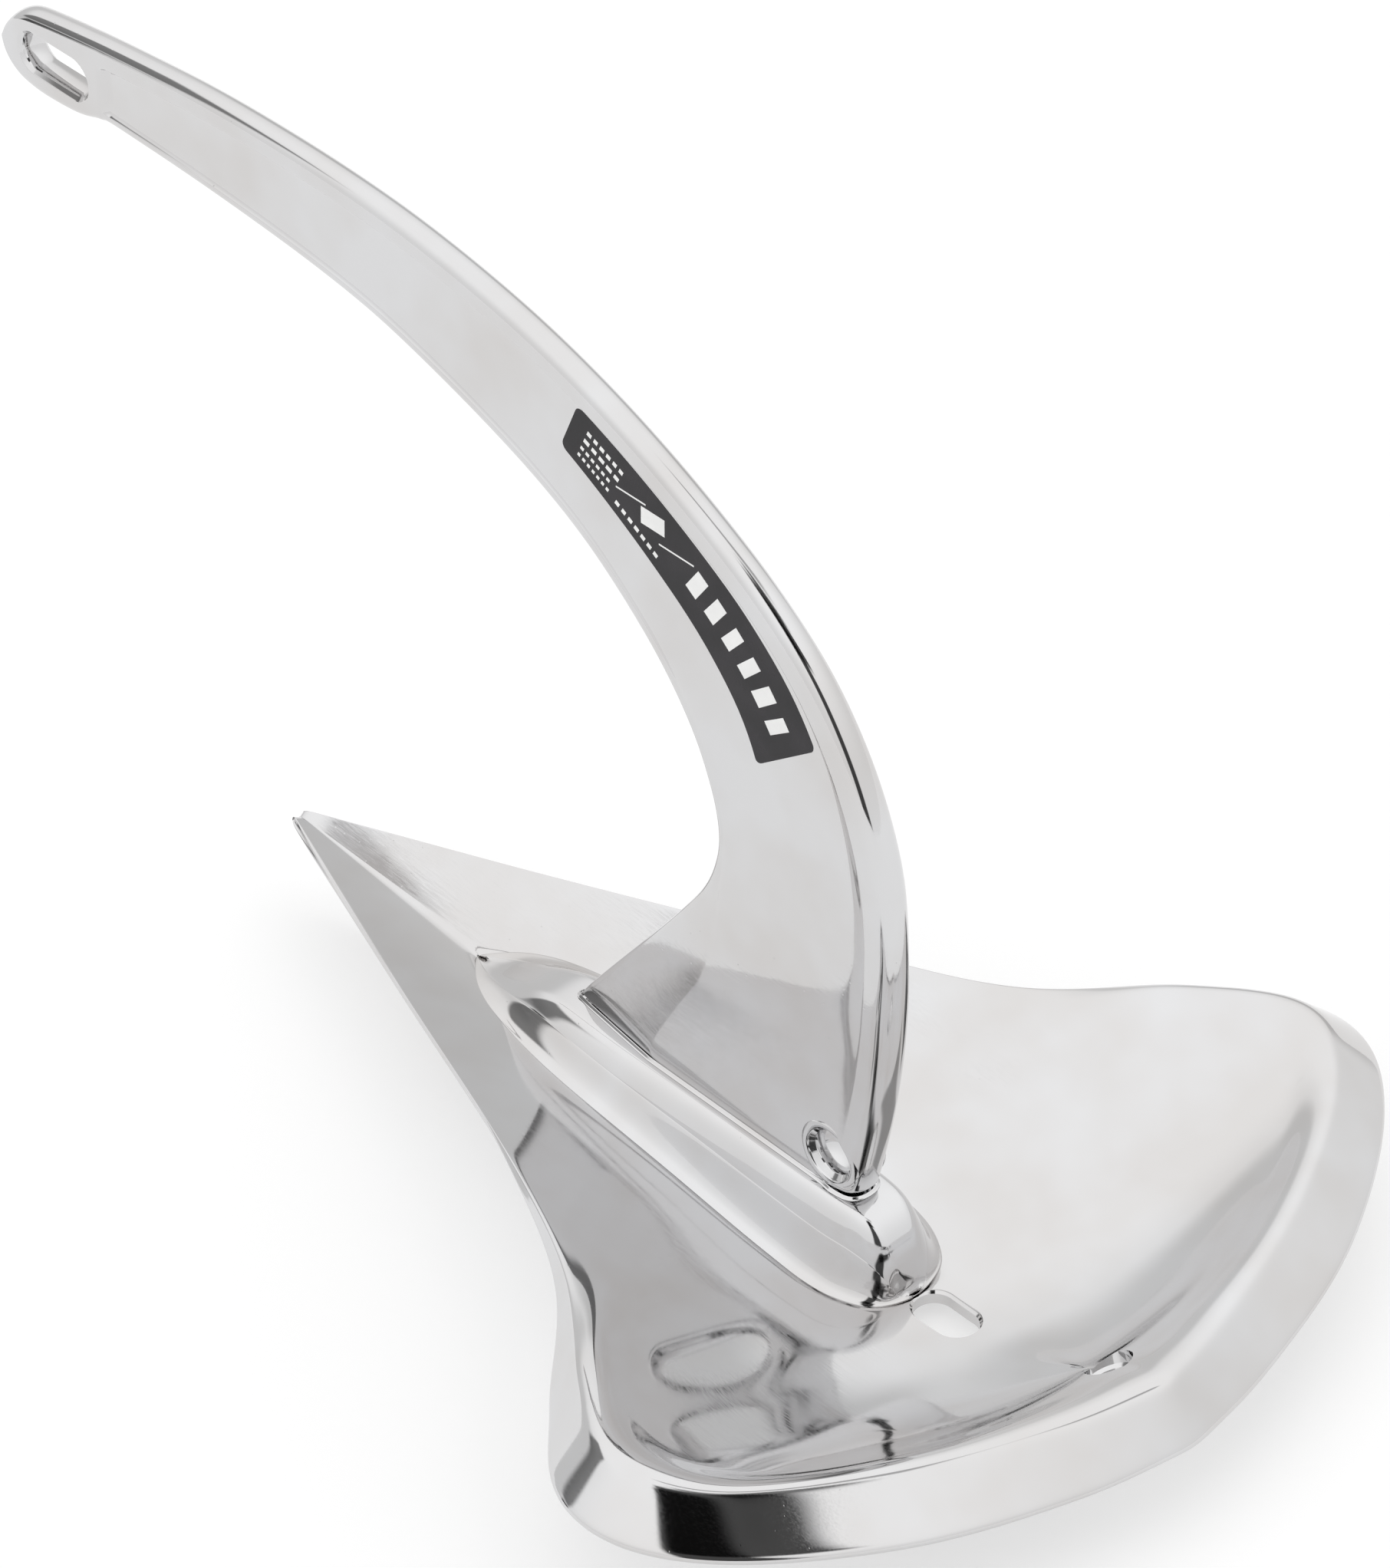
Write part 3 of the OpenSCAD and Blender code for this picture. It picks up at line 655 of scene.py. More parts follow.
@dataclass
class Fluke:
    """Concave plate with its rolled rim, the flared skirt, the centre slot and the drain hole."""

    form: FlukeForm
    steel: bpy.types.Material
    slot: Hole = Hole("slot_cut", (287.0, 0, -19.6), (0, 0, 1), 6.5, 9.0, 2.5, 0.7)
    drain: Hole = Hole("drain_cut", (352.7, 0, 2.4), (-0.469, 0, 0.883), 6.3, 0.0, 2.5, 0.9)

    def edge(self, s: float, a: np.ndarray, d: np.ndarray) -> Row:
        """Points from the upper edge a round to the lower edge d: a plain edge in front, the skirt behind.

        Args:
            s: section.
            a: the upper edge of the plate.
            d: the lower edge of the plate.

        Returns:
            The points between a and d.
        """
        form = self.form
        plain = [mix(a, d, w) for w in (0.04, 0.1, 0.25, 0.42, 0.6, 0.76, 0.9, 0.96)]
        share, drop = spline(form.skirt_shape, max(0.0, s - form.skirt_first))
        out = form.outward(s)
        b = a + np.array([*(out * share * form.skirt_flare), -drop * form.skirt_drop])
        h = (b - a)[:2]
        n = unit(np.array([*(unit(h) * (a[2] - b[2])), float(np.linalg.norm(h))]))
        c = b - n * mix(form.edge, form.plate, form.roll(s))
        skirt = [mix(a, b, w) for w in (0.18, 0.55, 0.9)] + [mix(b, c, w) for w in (0.04, 0.96)]
        skirt += [mix(c, d, w) for w in (0.12, 0.5, 0.85)]
        t = ease((s - form.skirt_first + 0.5) / 0.8)
        return [mix(p, q, t) for p, q in zip(plain, skirt)]

    def plate(self) -> bpy.types.Object:
        """Build the plate with its skirt as one skin, and cut its two holes."""
        rows, opened = [], []
        for s in self.form.stops():
            top, under = self.form.sheets(s)
            rows.append(top + self.edge(s, top[-1], under[-1]) + under[::-1])
            opened.append(self.form.opening(s) > 0)
        shell = Shell("fluke_plate")
        shell.half_loft(rows, opened, (True, False))
        plate = shell.build()
        refine(plate, 2)
        cut(plate, self.slot, self.drain)
        smooth(plate)
        return finish_piece(plate, self.steel, "polished_plate", "fluke_blade", "heel_skirt")

    def build(self) -> None:
        """Build the fluke."""
        self.plate()


# ---------------------------------------------------------------- keel


@dataclass
class Keel:
    """Boat-shaped casting through the fluke, its weld bead, and the ballast under the toe."""

    form: FlukeForm
    steel: bpy.types.Material
    bead: bpy.types.Material
    top: float = 8.0
    bottom: float = 26.0
    nose_start: float = 90.0
    nose: float = 44.0
    foot_rear: float = 255.0
    dome_end: float = 272.5
    bead_width: float = 3.0
    plateau_half: float = 7.5
    flank_stops: tuple = (0, 0.07, 0.14, 0.22, 0.3, 0.38, 0.46, 0.54, 0.62, 0.7, 0.79, 0.88, 1)
    seam: int = 6
    fillet_reach: float = 5.0
    ballast_depth: float = 14.0

    def side(self, s: float) -> np.ndarray:
        """Plan point on the casting's side in the section at s."""
        t = self.form.opening(s)
        _, d = self.form.direction(s)
        return np.array([self.form.spine(s)[0], 0.0]) + d * (t - min(self.bead_width, t / 2))

    def crest(self, x: float) -> float:
        """Height of the casting's top at x."""
        form = self.form
        if x < self.nose_start + self.nose:
            return mix(form.floor_height(self.nose_start) + 0.9, self.top, ease((x - self.nose_start) / self.nose))
        if x <= self.foot_rear + 2:
            return self.top
        run = (x - self.foot_rear - 2) / (self.dome_end - self.foot_rear - 2)
        return mix(form.floor_height(self.dome_end) + 1.2, self.top, math.sqrt(max(0.0, 1 - run * run)))

    def sole(self, x: float) -> float:
        """Height of the casting's underside at x."""
        deep = ease((x - self.nose_start + 14) / 30) * ease((self.dome_end + 3 - x) / 60)
        return mix(self.form.floor_height(x) - self.form.plate - 1.5, -self.bottom, deep)

    def flank(self, s: float) -> Row:
        """Side of the keel in the section at s: one soft S from its flat top down to the plate."""
        x, h = self.side(s)
        share = clamp(2 * self.form.opening(s) / self.form.opening_half)
        crest, flat = self.crest(x), min(h * 0.5, self.plateau_half)
        foot = self.on_plate(s, self.fillet_reach * share)
        points = []
        for t in self.flank_stops:
            drop = (1 - math.cos(math.pi * t)) / 2
            points.append(np.array([mix(x, foot[0], t * t), mix(flat, foot[1], t), mix(crest, foot[2], drop)]))
        return points

    def on_plate(self, s: float, out: float) -> np.ndarray:
        """Point on the plate's upper side, the given distance out from the edge of the opening."""
        profile = self.form.profile(s)
        distance = profile[0][0] + out
        height = float(lookup([tuple(p) for p in profile], distance)[1])
        return self.form.place(s, np.array([distance, height]))

    def row(self, s: float) -> Row:
        """Half section of the casting in the section at s."""
        flank = self.flank(s)
        _, under = self.form.sheets(s)
        x, h = self.side(s)
        crest, wall_low = flank[0][2], under[0][2] - 0.6
        sole = min(self.sole(x), wall_low - 0.6)
        outer = flank[: self.seam + 1]
        outer.append(flank[self.seam + 1] - np.array([0, min(0.6, h * 0.1), 0.2]))
        inside = outer[-1] * np.array([1, 1, 0]) - np.array([0, min(0.6, h * 0.1), 0])
        top = [np.array([x, outer[0][1] * w, crest]) for w in (0.0, 0.5)]
        below = [
            inside + np.array([0, 0, mix(outer[-1][2], wall_low, 0.3)]), np.array([x, h, wall_low]),
            np.array([x, h * 0.72, mix(wall_low, sole, 0.5)]), np.array([x, h * 0.3, mix(wall_low, sole, 0.93)]),
            np.array([x, 0.0, sole]),
        ]
        return top + outer + below

    def open_stops(self) -> list[float]:
        """Sections that cross the keel's opening."""
        return [s for s in self.form.stops() if self.form.opening(s) > 0]

    def casting(self) -> bpy.types.Object:
        """Build the casting."""
        shell = Shell("keel_casting")
        shell.half_loft([self.row(s) for s in self.open_stops()])
        body = shell.build()
        refine(body, 2)
        smooth(body)
        return finish_piece(body, self.steel, "polished_casting", "keel")

    def fillet(self, s: float, full: bool = True) -> Row:
        """Bead section at s: the lower flank, from the casting's side down to a feather edge on the plate."""
        top, under = self.form.sheets(s)
        if full:
            outer = self.flank(s)[self.seam - 1 :]
            outer[0] = outer[0] - np.array([0, 0.25, 0.15])
            outer[1:] = [p + np.array([0, 0.03, 0.02]) for p in outer[1:]]
            inner = outer[0] * np.array([1, 1, 0]) - np.array([0, min(0.8, outer[0][1] * 0.2), 0])
        else:
            count = len(self.flank_stops) - self.seam + 1
            outer = [top[0] + np.array([0, 0, 0.02 * (count - i)]) for i in range(count)]
            inner = top[0] * np.array([1, 1, 0])
        low = under[0][2] + 0.6
        return [inner + np.array([0, 0, low]), outer[-1] - np.array([0, 0, 0.5]), *outer[::-1]]

    def weld(self) -> bpy.types.Object:
        """Build the bead between casting and plate."""
        stops = self.open_stops()
        every = self.form.stops()
        right = [self.fillet(s) for s in stops]
        front = self.fillet(every[every.index(stops[0]) - 1], False)
        rear = self.fillet(every[every.index(stops[-1]) + 1], False)
        left = [[p * MIRROR for p in r] for r in reversed(right)]
        shell = Shell("keel_bead")
        shell.ring_loft([front, *right, rear, *left])
        bead = shell.build()
        refine(bead, 2)
        smooth(bead, 60)
        return finish_piece(bead, self.bead, "polished_bead", "keel_weld")

    def ballast(self) -> bpy.types.Object:
        """Build the V-shaped weight under the toe."""
        rows = []
        for i in range(15):
            t = i / 14
            s = self.form.section_at(mix(8.0, self.form.opening_start - 3, t))
            _, under = self.form.sheets(s)
            under = under[:6]
            edge = under[-1]
            low = under[0] - np.array([0, 0, 1.5 + self.ballast_depth * math.sin(math.pi * t**0.75)])
            flanks = [mix(edge, low, share) - np.array([0, 0, sink]) for share, sink in ((0.5, 0.8), (0.88, 0.6))]
            rows.append(under + flanks + [low])
        shell = Shell("toe_weight")
        shell.half_loft(rows)
        weight = shell.build()
        refine(weight, 2)
        smooth(weight)
        return finish_piece(weight, self.steel, "polished_casting", "toe_ballast")

    def build(self) -> None:
        """Build every piece of the keel."""
        self.casting()
        self.weld()
        self.ballast()


# ---------------------------------------------------------------- shank


class Side(Enum):
    """Side of the shank that a rating plate is on."""

    PORT = -1
    STARBOARD = 1


@dataclass
class Shank:
    """Arched I-section casting with the slotted eye and the trip-line hole, and the bead round its foot."""

    steel: bpy.types.Material
    bead: bpy.types.Material
    foot_rear: float = 255.0
    keel_top: float = 8.0
    pad: float = 5.2
    web: float = 2.7
    lip: float = 4.6
    foot: float = 5.8
    flange: float = 6.6
    front: float = 1.8
    bead_width: float = 1.4
    eye: tuple[float, float, float] = (-86.7, 0, 228.15)
    eye_radius: float = 6.15
    eye_run: float = 18.7
    trip: tuple[float, float, float] = (244.5, 0, 19.6)
    trip_radius: float = 7.2
    fine_stops: tuple = (5.85, 5.94, 6.06, 6.13, 6.2, 6.27)
    stations: tuple = (
        (-365.5, 221, -365.5, 219), (-364, 225.5, -364, 213.8), (-360.5, 229.5, -360.5, 209.6),
        (-355, 232.3, -355, 207.2), (-346, 234, -346, 206.3), (-331, 236, -331, 207.3),
        (-320, 237.3, -320, 210.2), (-305, 238.8, -305, 210.2), (-280, 241, -281, 209.5),
        (-255, 242, -257, 208.2), (-225, 242, -229, 206), (-195, 240.5, -202, 202.3),
        (-167, 237, -178, 196.3), (-140, 231.8, -154, 188.8), (-115, 224.8, -133, 180.8),
        (-90, 215.4, -114, 171), (-65, 203.5, -97, 158.5), (-42, 190, -82, 144.5),
        (-22, 174, -70.5, 129), (-8, 156.5, -63.8, 114.5), (2, 137.5, -61, 102),
        (8.5, 117, -61.4, 90), (10.8, 95, -66.4, 75), (10.8, 74, -77, 59),
        (9.5, 52, -90, 41.5), (6.5, 30, -105, 22), (2.5, 10, -117, 6), (0, 0, -121, 0),
    )

    def section_table(self) -> list[tuple[float, ...]]:
        """Station, four half widths (flange, web, lip, edge), and four runs along the section."""
        pad, web, lip, foot, flange = self.pad, self.web, self.lip, self.foot, self.flange
        return [
            (0, pad, pad, pad, pad, 8, 2, 4.5, 2), (5.95, pad, pad, pad, pad, 8, 2, 4.5, 2),
            (6.07, pad, pad * 0.6 + web * 0.4, pad * 0.6 + lip * 0.4, lip, 7.6, 2, 3.6, 2),
            (6.2, pad, web, lip, lip, 7.3, 1.8, 3.2, 1.6), (14, pad, web, lip, lip, 7, 2.2, 3.6, 1.8),
            (17, pad * 0.8 + flange * 0.2, web, lip, lip, 8, 3.5, 4, 2.2),
            (19, pad * 0.6 + flange * 0.4, web, web * 0.6 + lip * 0.4, lip * 0.9, 8.5, 6, 3.5, 4),
            (21, pad * 0.4 + flange * 0.6, web * 0.8 + foot * 0.2, web, web, 9, 12, 3, 4),
            (22, flange * 0.9, web * 0.6 + foot * 0.4, web, web * 0.9, 9, 14, 6, 4),
            (23, flange, web * 0.3 + foot * 0.7, foot * 0.75, self.front, 9, 14, 17, 3),
            (24, flange, foot, foot * 0.97, self.front, 9, 12, 26, 2),
            (27, flange, foot, foot * 0.97, self.front, 9, 8, 35, 2),
        ]

    def ends(self, k: float) -> tuple[np.ndarray, np.ndarray]:
        """Outer and inner edge of the shank at station k, in its plane."""
        r = spline(self.stations, k)
        base = np.array([self.foot_rear, self.keel_top])
        return base + r[:2], base + r[2:]

    def section(self, k: float) -> list[tuple[float, float]]:
        """Half section at station k, as distance from the outer edge and half width."""
        outer, inner = self.ends(k)
        depth = float(np.linalg.norm(inner - outer))
        _, fl, we, li, ed, face, hollow, run, rise = lookup(self.section_table(), k)
        f = min(1.0, depth / 27)
        return [
            (0, 0), (0.38 * f, fl * 0.4), (1.5 * f, fl * 0.73), (3.4 * f, fl * 0.94),
            ((face - 0.6) * f, fl), (face * f, fl * 0.98 + we * 0.02),
            ((face + hollow * 0.4) * f, mix(fl, we, 0.72)), ((face + hollow) * f, we),
            (depth - (run + rise) * f, we), (depth - (run + rise * 0.15) * f, mix(we, li, 0.9)),
            (depth - run * f, li), (depth - 1.5 * f, ed), (depth - 0.4 * f, ed * 0.6), (depth, 0),
        ]

    def row(self, k: float) -> Row:
        """Half section at station k as points."""
        outer, inner = self.ends(k)
        u = unit(inner - outer)
        return [np.array([outer[0] + u[0] * d, w, outer[1] + u[1] * d]) for d, w in self.section(k)]

    def casting(self) -> bpy.types.Object:
        """Build the shank and cut its eye and its trip-line hole."""
        shell = Shell("shank_casting")
        stops = sorted({i / 3 for i in range(3 * (len(self.stations) - 1) + 1)} | set(self.fine_stops))
        shell.half_loft([self.row(k) for k in stops])
        body = shell.build()
        refine(body, 2)
        cut(
            body,
            Hole("eye_cut", self.eye, (0, 1, 0), self.eye_radius, self.eye_run, self.pad, 1.2),
            Hole("trip_cut", self.trip, (0, 1, 0), self.trip_radius, 0.0, self.foot, 1.6),
        )
        smooth(body, 70)
        return finish_piece(body, self.steel, "polished_casting", "shank")

    def weld(self) -> bpy.types.Object:
        """Build the bead round the foot."""
        last = len(self.stations) - 1
        right = [np.array([self.foot_rear - d, w]) for d, w in self.section(last)]
        rings = []
        n = len(right)
        for i in range(2 * n - 2):
            j, sign = (i, 1) if i < n else (2 * n - 2 - i, -1)
            t = unit(right[min(n - 1, j + 1)] - right[max(0, j - 1)])
            d = np.array([t[1], -t[0]])
            d = d if d[1] > 0 else -d
            d = np.array([1.0, 0.0]) if j == 0 else np.array([-1.0, 0.0]) if j == n - 1 else d
            a = right[j]
            b = a + d * (1.2 if j == 0 else self.bead_width)
            ring = []
            for share, up in ((0, 0), (1, 0), (0.62, 0.12), (0.32, 0.36), (0, 0.8)):
                p = mix(a, b, share)
                ring.append(np.array([p[0], sign * p[1], self.keel_top + up * self.bead_width]))
            rings.append(ring)
        shell = Shell("foot_bead")
        shell.ring_loft(rings)
        bead = shell.build()
        refine(bead, 1)
        smooth(bead, 50)
        return finish_piece(bead, self.bead, "polished_bead", "foot_weld")

    def boss(self, side: Side) -> bpy.types.Object:
        """Build the low raised ring round the trip-line hole on one side."""
        rings = []
        for i in range(48):
            a = 2 * math.pi * i / 48
            rings.append([
                np.array([
                    self.trip[0] + r * math.cos(a), side.value * (self.foot + h), self.trip[2] + r * math.sin(a)
                ])
                for r, h in (
                    (8.7, -0.8), (8.8, 0.1), (9.2, 0.4), (10.0, 0.5), (10.7, 0.35), (11.2, -0.05), (11.4, -0.8),
                )
            ])
        shell = Shell(f"trip_ring_{side.name.lower()}")
        shell.ring_loft(rings)
        ring = shell.build()
        smooth(ring, 60)
        return finish_piece(ring, self.steel, "polished_casting")

    def build(self) -> None:
        """Build every piece of the shank."""
        self.casting()
        self.weld()
        for side in Side:
            self.boss(side)


# ---------------------------------------------------------------- rating plates


@dataclass
class RatingPlate:
    """Black foil in the shank's web, with plain white bars in place of print."""

    shank: Shank
    side: Side
    foil: bpy.types.Material
    ink: bpy.types.Material
    first: float = 14.1
    last: float = 18.9
    margin: float = 0.6
    widths: tuple[float, float] = (18.0, 29.0)
    thickness: float = 0.4
    corner: float = 2.2
    length: float = 105.0

    def point(self, t: float, share: float) -> np.ndarray:
        """Point on the plate at share t of its length and the given share of its width, in the shank's plane."""
        k = mix(self.first, self.last, t)
        outer, inner = self.shank.ends(k)
        u = unit(inner - outer)
        row = lookup(self.shank.section_table(), k)
        near = row[5] + row[6] + self.margin
        return outer + u * (near + share * mix(*self.widths, t))

    def outline(self) -> list[np.ndarray]:
        """Outline of the plate with rounded corners."""
        arcs = []
        for t, share, start in ((0, 0, 180), (1, 0, 270), (1, 1, 0), (0, 1, 90)):
            rt, rs = self.corner / self.length, self.corner / mix(*self.widths, t)
            middle = (t + (-rt if t else rt), share + (-rs if share else rs))
            angles = [math.radians(start + 90 * i / 5) for i in range(6)]
            arcs.append([(middle[0] + rt * math.cos(a), middle[1] + rs * math.sin(a)) for a in angles])
        edge = []
        for arc, following in zip(arcs, arcs[1:] + arcs[:1]):
            (t0, s0), (t1, s1) = arc[-1], following[0]
            edge += arc + [(mix(t0, t1, i / 24), mix(s0, s1, i / 24)) for i in range(1, 24)]
        return [self.point(t, share) for t, share in edge]

    def plate(self) -> bpy.types.Object:
        """Build the foil."""
        edge = self.outline()
        y0 = self.shank.web * self.side.value
        rings = []
        for inset, lift in ((0.0, 0.0), (0.0, 0.28), (0.12, self.thickness)):
            middle = sum(edge) / len(edge)
            rings.append([
                np.array([q[0], y0 + self.side.value * lift, q[1]])
                for q in (p + unit(middle - p) * inset for p in edge)
            ])
        shell = Shell(f"rating_foil_{self.side.name.lower()}")
        shell.ring_loft(rings, closed=False)
        foil = shell.build()
        smooth(foil, 30)
        return finish_piece(foil, self.foil, "black_label", f"rating_plate_{self.side.name.lower()}")

    def build(self) -> None:
        """Build the plate and its printed bars."""
        self.plate()
        PrintedBars(self).build()


@dataclass(frozen=True)
class PrintRow:
    """One row of bars: its ends and its place across as shares of the plate, and its bars."""

    start: float
    end: float
    across: float
    count: int
    height_mm: float
    fill: float


@dataclass
class PrintedBars:
    """Rows of plain printed bars, laid along the plate by geometry nodes."""

    owner: RatingPlate

    rows: tuple[PrintRow, ...] = (
        PrintRow(0.45, 0.94, 0.47, 6, 9.0, 0.58),
        PrintRow(0.27, 0.35, 0.42, 1, 9.5, 0.66),
        PrintRow(0.225, 0.235, 0.45, 1, 12.0, 0.06),
        PrintRow(0.40, 0.41, 0.45, 1, 14.0, 0.06),
        PrintRow(0.20, 0.38, 0.82, 7, 1.5, 0.62),
        PrintRow(0.05, 0.19, 0.28, 6, 1.5, 0.66),
        PrintRow(0.05, 0.19, 0.46, 5, 1.5, 0.72),
        PrintRow(0.05, 0.17, 0.64, 6, 1.2, 0.60),
        PrintRow(0.05, 0.18, 0.80, 7, 1.2, 0.60),
    )
    ink_mm: float = 0.06
    single_pitch_mm: float = 10.0
    samples: int = 12
    seed: int = 7

    def tree(self) -> bpy.types.NodeTree:
        """Node tree that lays bars of uneven length along a curve."""
        tree = bpy.data.node_groups.new("printed_bars", "GeometryNodeTree")
        face = tree.interface
        face.new_socket("Geometry", in_out="INPUT", socket_type="NodeSocketGeometry")
        for label, kind, value in (
            ("Bar Count", "NodeSocketInt", 6), ("Bar Height", "NodeSocketFloat", 0.009),
            ("Bar Length", "NodeSocketFloat", 0.008), ("Unevenness", "NodeSocketFloat", 0.18),
            ("Seed", "NodeSocketInt", 7),
        ):
            socket = face.new_socket(label, in_out="INPUT", socket_type=kind)
            socket.default_value = value
        face.new_socket("Ink", in_out="INPUT", socket_type="NodeSocketMaterial")
        face.new_socket("Geometry", in_out="OUTPUT", socket_type="NodeSocketGeometry")
        given = add_node(tree, "NodeGroupInput").outputs
        spaced = add_node(tree, "GeometryNodeResampleCurve", {"Curve": given["Geometry"], "Count": given["Bar Count"]})
        shortest = maths(tree, "SUBTRACT", 1.0, given["Unevenness"])
        lengths = add_node(
            tree, "FunctionNodeRandomValue", {2: shortest, 3: 1.0, "Seed": given["Seed"]}, data_type="FLOAT"
        )
        long = maths(tree, "MULTIPLY", lengths.outputs[1], given["Bar Length"])
        scale = add_node(tree, "ShaderNodeCombineXYZ", {"X": long, "Y": given["Bar Height"], "Z": 1.0})
        tangent = add_node(tree, "GeometryNodeInputTangent").outputs[0]
        align = "FunctionNodeAlignRotationToVector"
        turn = add_node(tree, align, {"Vector": tangent}, axis="X", pivot_axis="AUTO").outputs[0]
        tilt = add_node(
            tree, align, {"Rotation": turn, "Vector": (0.0, 1.0, 0.0)}, axis="Z", pivot_axis="X"
        )
        block = {"Size": (1.0, 1.0, self.ink_mm * MM), "Vertices X": 2, "Vertices Y": 2, "Vertices Z": 2}
        bar = add_node(tree, "GeometryNodeMeshCube", block)
        points = add_node(tree, "GeometryNodeInstanceOnPoints", {
            "Points": spaced.outputs[0], "Instance": bar.outputs[0],
            "Rotation": tilt.outputs[0], "Scale": scale.outputs[0],
        })
        real = add_node(tree, "GeometryNodeRealizeInstances", {"Geometry": points.outputs[0]})
        inked = add_node(tree, "GeometryNodeSetMaterial", {"Geometry": real.outputs[0], "Material": given["Ink"]})
        add_node(tree, "NodeGroupOutput", {"Geometry": inked.outputs[0]})
        return tree

    def path(self, row: PrintRow) -> tuple[bpy.types.Object, float]:
        """Lay the curve that a row's bars stand on.

        Args:
            row: the row of bars.

        Returns:
            The curve's object, and its length in metres.
        """
        y = self.owner.side.value * (self.owner.shank.web + self.owner.thickness)
        pitch = (row.end - row.start) / row.count
        places = []
        for i in range(self.samples):
            t = mix(row.start + pitch / 2, row.end - pitch / 2 + 1e-4, i / (self.samples - 1))
            p = self.owner.point(t, row.across)
            places.append(ORIGIN + Vector((p[0], y, p[1])) * MM)
        curve = bpy.data.curves.new("print_row", "CURVE")
        curve.dimensions = "3D"
        line = curve.splines.new("POLY")
        line.points.add(self.samples - 1)
        for point, place in zip(line.points, places):
            point.co = (*place, 1.0)
        length = sum((b - a).length for a, b in zip(places, places[1:]))
        return add_object("print_row", curve), length

    def build(self) -> bpy.types.Object:
        """Lay every row of bars and join them into one piece."""
        tree = self.tree()
        sockets = {i.name: i.identifier for i in tree.interface.items_tree if i.in_out == "INPUT"}
        joined = bmesh.new()
        for number, row in enumerate(self.rows):
            path, length = self.path(row)
            layer = path.modifiers.new("bars", "NODES")
            layer.node_group = tree
            spacing = length / (row.count - 1) if row.count > 1 else self.single_pitch_mm * MM
            for label, value in (
                ("Bar Count", row.count), ("Bar Height", row.height_mm * MM), ("Bar Length", spacing * row.fill),
                ("Seed", self.seed + number), ("Ink", self.owner.ink),
            ):
                layer[sockets[label]] = value
            bpy.context.view_layer.update()
            made = bpy.data.meshes.new_from_object(path.evaluated_get(bpy.context.evaluated_depsgraph_get()))
            joined.from_mesh(made)
            bpy.data.meshes.remove(made)
            bpy.data.objects.remove(path)
        mesh = bpy.data.meshes.new(f"printed_bars_{self.owner.side.name.lower()}")
        joined.to_mesh(mesh)
        joined.free()
        return finish_piece(add_object(mesh.name, mesh), self.owner.ink, "black_label")


# ---------------------------------------------------------------- studio and camera


@dataclass(frozen=True)
class DarkCard:
    """A dark patch in the tent of light, placed by compass and height angles in degrees."""

    turn: float
    height: float
    half_turn: float
    half_height: float
    edge: float
    depth: float


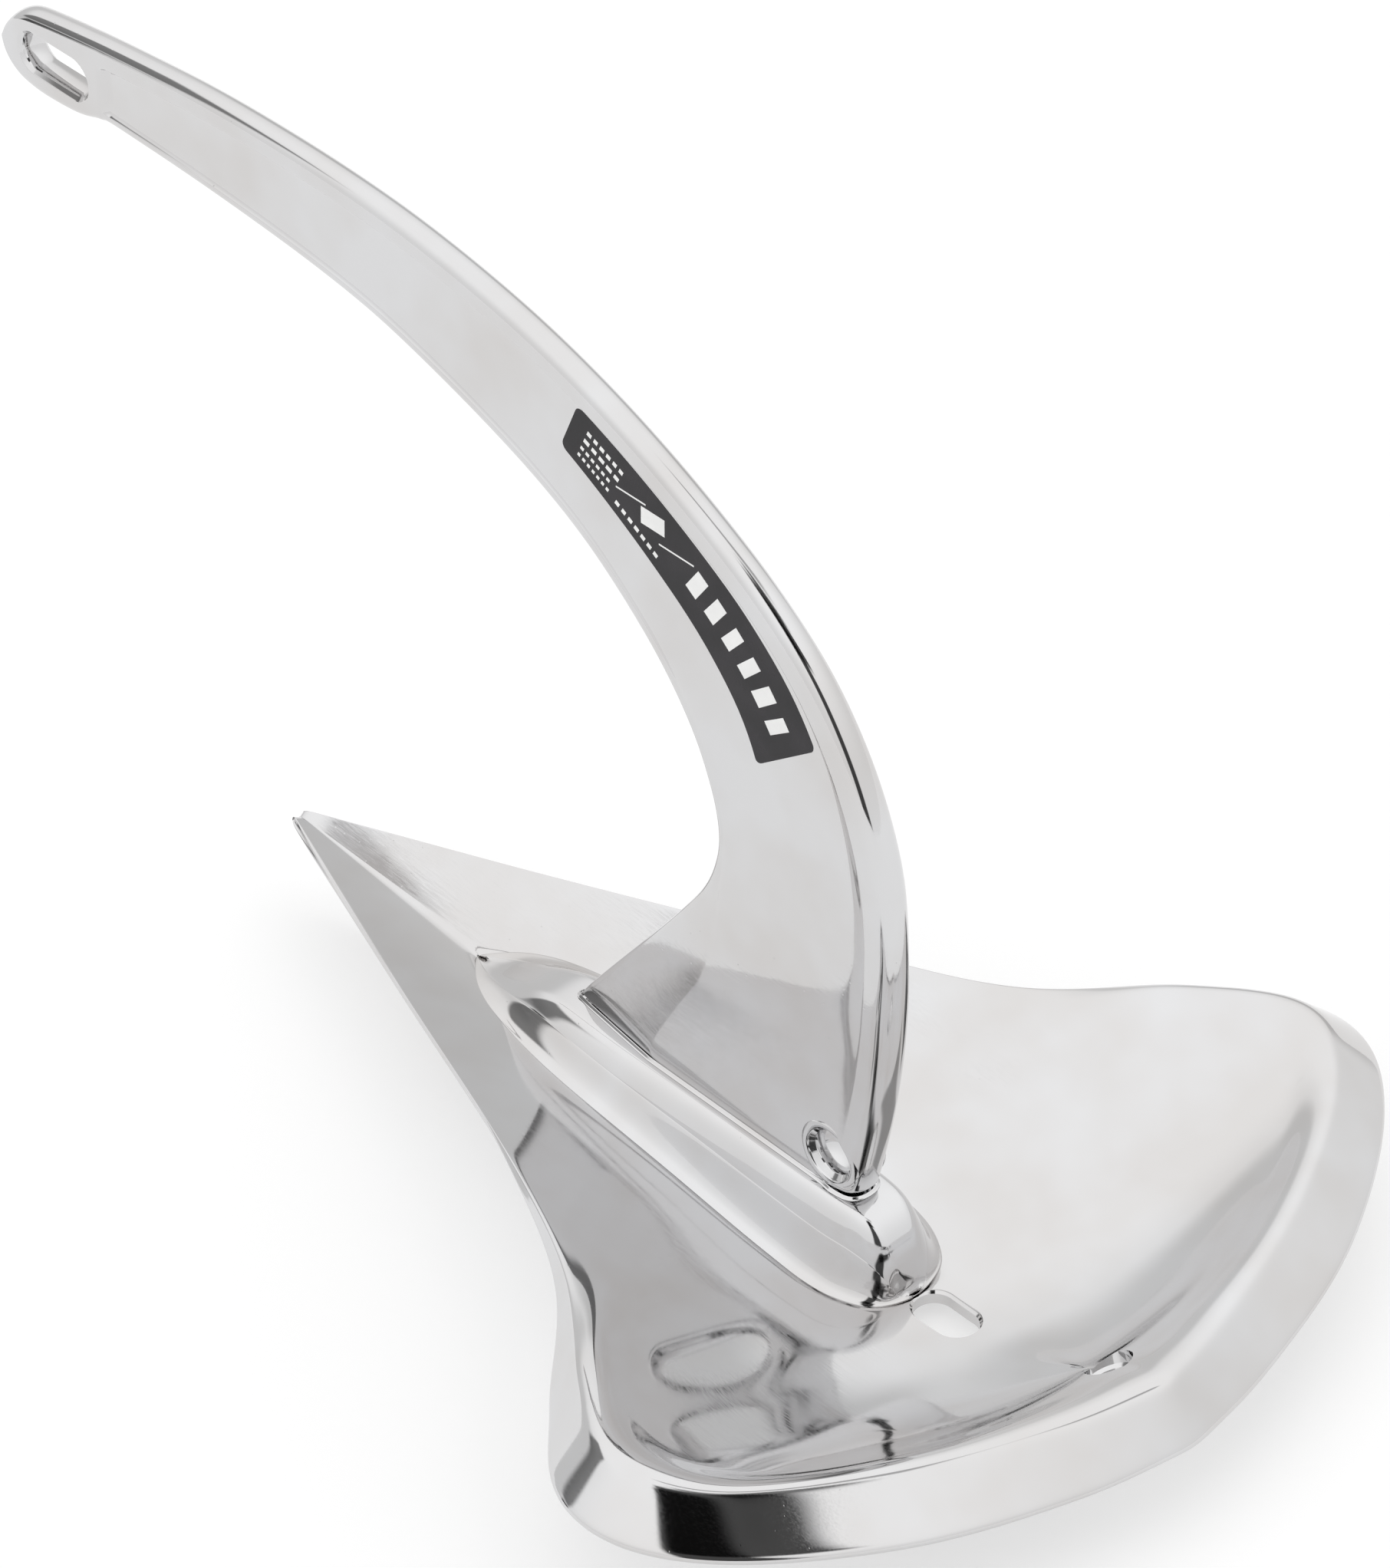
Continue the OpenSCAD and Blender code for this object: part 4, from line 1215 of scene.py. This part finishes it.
@dataclass
class Studio:
    """Bright floor and a white tent of light with dark cards for the polished steel to mirror."""

    zenith: float = 1.22
    horizon: float = 0.98
    low_angle: float = 5.0
    high_angle: float = 55.0
    floor_half: float = 6.0
    cards: tuple[DarkCard, ...] = (
        DarkCard(-32, 26, 9, 33, 5, 0.93),
        DarkCard(-22, 56, 15, 8, 5, 0.93),
        DarkCard(-4, 64, 9, 4, 5, 0.8),
        DarkCard(30, 71, 9, 7, 6, 0.55),
        DarkCard(-153, 26, 11, 9, 6, 0.75),
        DarkCard(-144, -3, 3.5, 12, 4, 0.9),
        DarkCard(116, 8, 16, 7, 10, 0.3),
        DarkCard(178, 4, 30, 10, 14, 0.22),
    )

    def floor(self) -> None:
        """Lay the floor."""
        half = self.floor_half
        mesh = bpy.data.meshes.new("studio_floor")
        mesh.from_pydata([(-half, -half, 0), (half, -half, 0), (half, half, 0), (-half, half, 0)], [], [(0, 1, 2, 3)])
        mesh.materials.append(LightTable("studio_light_table").build())
        add_object("studio_floor", mesh)

    def window(
        self, tree: bpy.types.NodeTree, angle: bpy.types.NodeSocket, middle: float, half: float, edge: float
    ) -> bpy.types.NodeSocket:
        """Mask round an angle.

        Args:
            tree: the world's node tree.
            angle: the angle, in degrees.
            middle: the angle that the mask is centred on.
            half: half of the mask's width.
            edge: width that the mask fades out over.

        Returns:
            A socket that is 1 inside the mask and 0 outside.
        """
        turned = maths(tree, "WRAP", maths(tree, "SUBTRACT", angle, middle), 180.0, -180.0)
        return remap(tree, maths(tree, "ABSOLUTE", turned), (half, half + edge), (1.0, 0.0), soft=True)

    def sky(self) -> None:
        """Light the scene from a white dome with dark cards."""
        world = bpy.data.worlds.new("light_tent")
        bpy.context.scene.world = world
        world.use_nodes = True
        tree = world.node_tree
        tree.nodes.clear()
        way = add_node(
            tree, "ShaderNodeSeparateXYZ", {0: add_node(tree, "ShaderNodeTexCoord").outputs["Generated"]}
        ).outputs
        turn = maths(tree, "MULTIPLY", maths(tree, "ARCTAN2", way[1], way[0]), 180 / math.pi)
        height = maths(tree, "MULTIPLY", maths(tree, "ARCSINE", way[2]), 180 / math.pi)
        total = remap(tree, height, (self.low_angle, self.high_angle), (self.horizon, self.zenith), soft=True)
        for card in self.cards:
            across = self.window(tree, turn, card.turn, card.half_turn, card.edge)
            upright = self.window(tree, height, card.height, card.half_height, card.edge)
            kept = maths(tree, "MULTIPLY_ADD", maths(tree, "MULTIPLY", across, upright), -card.depth, 1.0)
            total = maths(tree, "MULTIPLY", total, kept)
        glow = add_node(tree, "ShaderNodeBackground", {"Color": linear("#FFFFFF"), "Strength": total})
        add_node(tree, "ShaderNodeOutputWorld", {0: glow.outputs[0]})

    def build(self) -> None:
        """Build the floor and the light."""
        self.floor()
        self.sky()
        bpy.context.scene.view_settings.view_transform = "Standard"


@dataclass
class View:
    """The camera, placed from its own axes in the design's millimetres."""

    right: tuple[float, float, float] = (0.6819, 0.7314, 0.0)
    up: tuple[float, float, float] = (-0.4555, 0.4246, 0.7825)
    back: tuple[float, float, float] = (0.5723, -0.5336, 0.6227)
    aside: float = 124.622
    above: float = 6.371
    distance: float = 2068.1
    lens: float = 175.1

    def build(self) -> None:
        """Create the camera."""
        lens = bpy.data.cameras.new("studio_camera")
        lens.sensor_fit, lens.sensor_width, lens.lens = "HORIZONTAL", 36.0, self.lens
        lens.clip_start, lens.clip_end = 0.05, 50.0
        camera = add_object("studio_camera", lens)
        right, up, back = Vector(self.right), Vector(self.up), Vector(self.back)
        place = ORIGIN + (right * self.aside + up * self.above + back * self.distance) * MM
        turn = Matrix((right, up, back)).transposed().to_4x4()
        camera.matrix_world = Matrix.Translation(place) @ turn
        bpy.context.scene.camera = camera


def main() -> None:
    """Build the anchor, the studio and the camera."""
    logging.basicConfig(level=logging.INFO, format="%(message)s")
    casting = PolishedSteel("polished_cast_stainless").build()
    plate = PolishedSteel(
        "polished_rolled_stainless", wave_mm=45.0, wave_height_mm=0.06, pit_depth_mm=0.008
    ).build()
    bead = PolishedSteel(
        "buffed_weld_stainless", warm="#CBC8C6", wave_mm=12.0, wave_height_mm=0.02, roughness=(0.04, 0.12)
    ).build()
    foil = GlossFoil("black_vinyl_foil").build()
    ink = GlossFoil("white_print", colour="#EDEDEC", light="#F7F7F6", roughness=(0.3, 0.42)).build()
    form = FlukeForm()
    shank = Shank(casting, bead)
    for part in (Fluke(form, plate), Keel(form, casting, bead), shank):
        part.build()
    for side in Side:
        RatingPlate(shank, side, foil, ink).build()
    Studio().build()
    View().build()


if __name__ == "__main__":
    main()
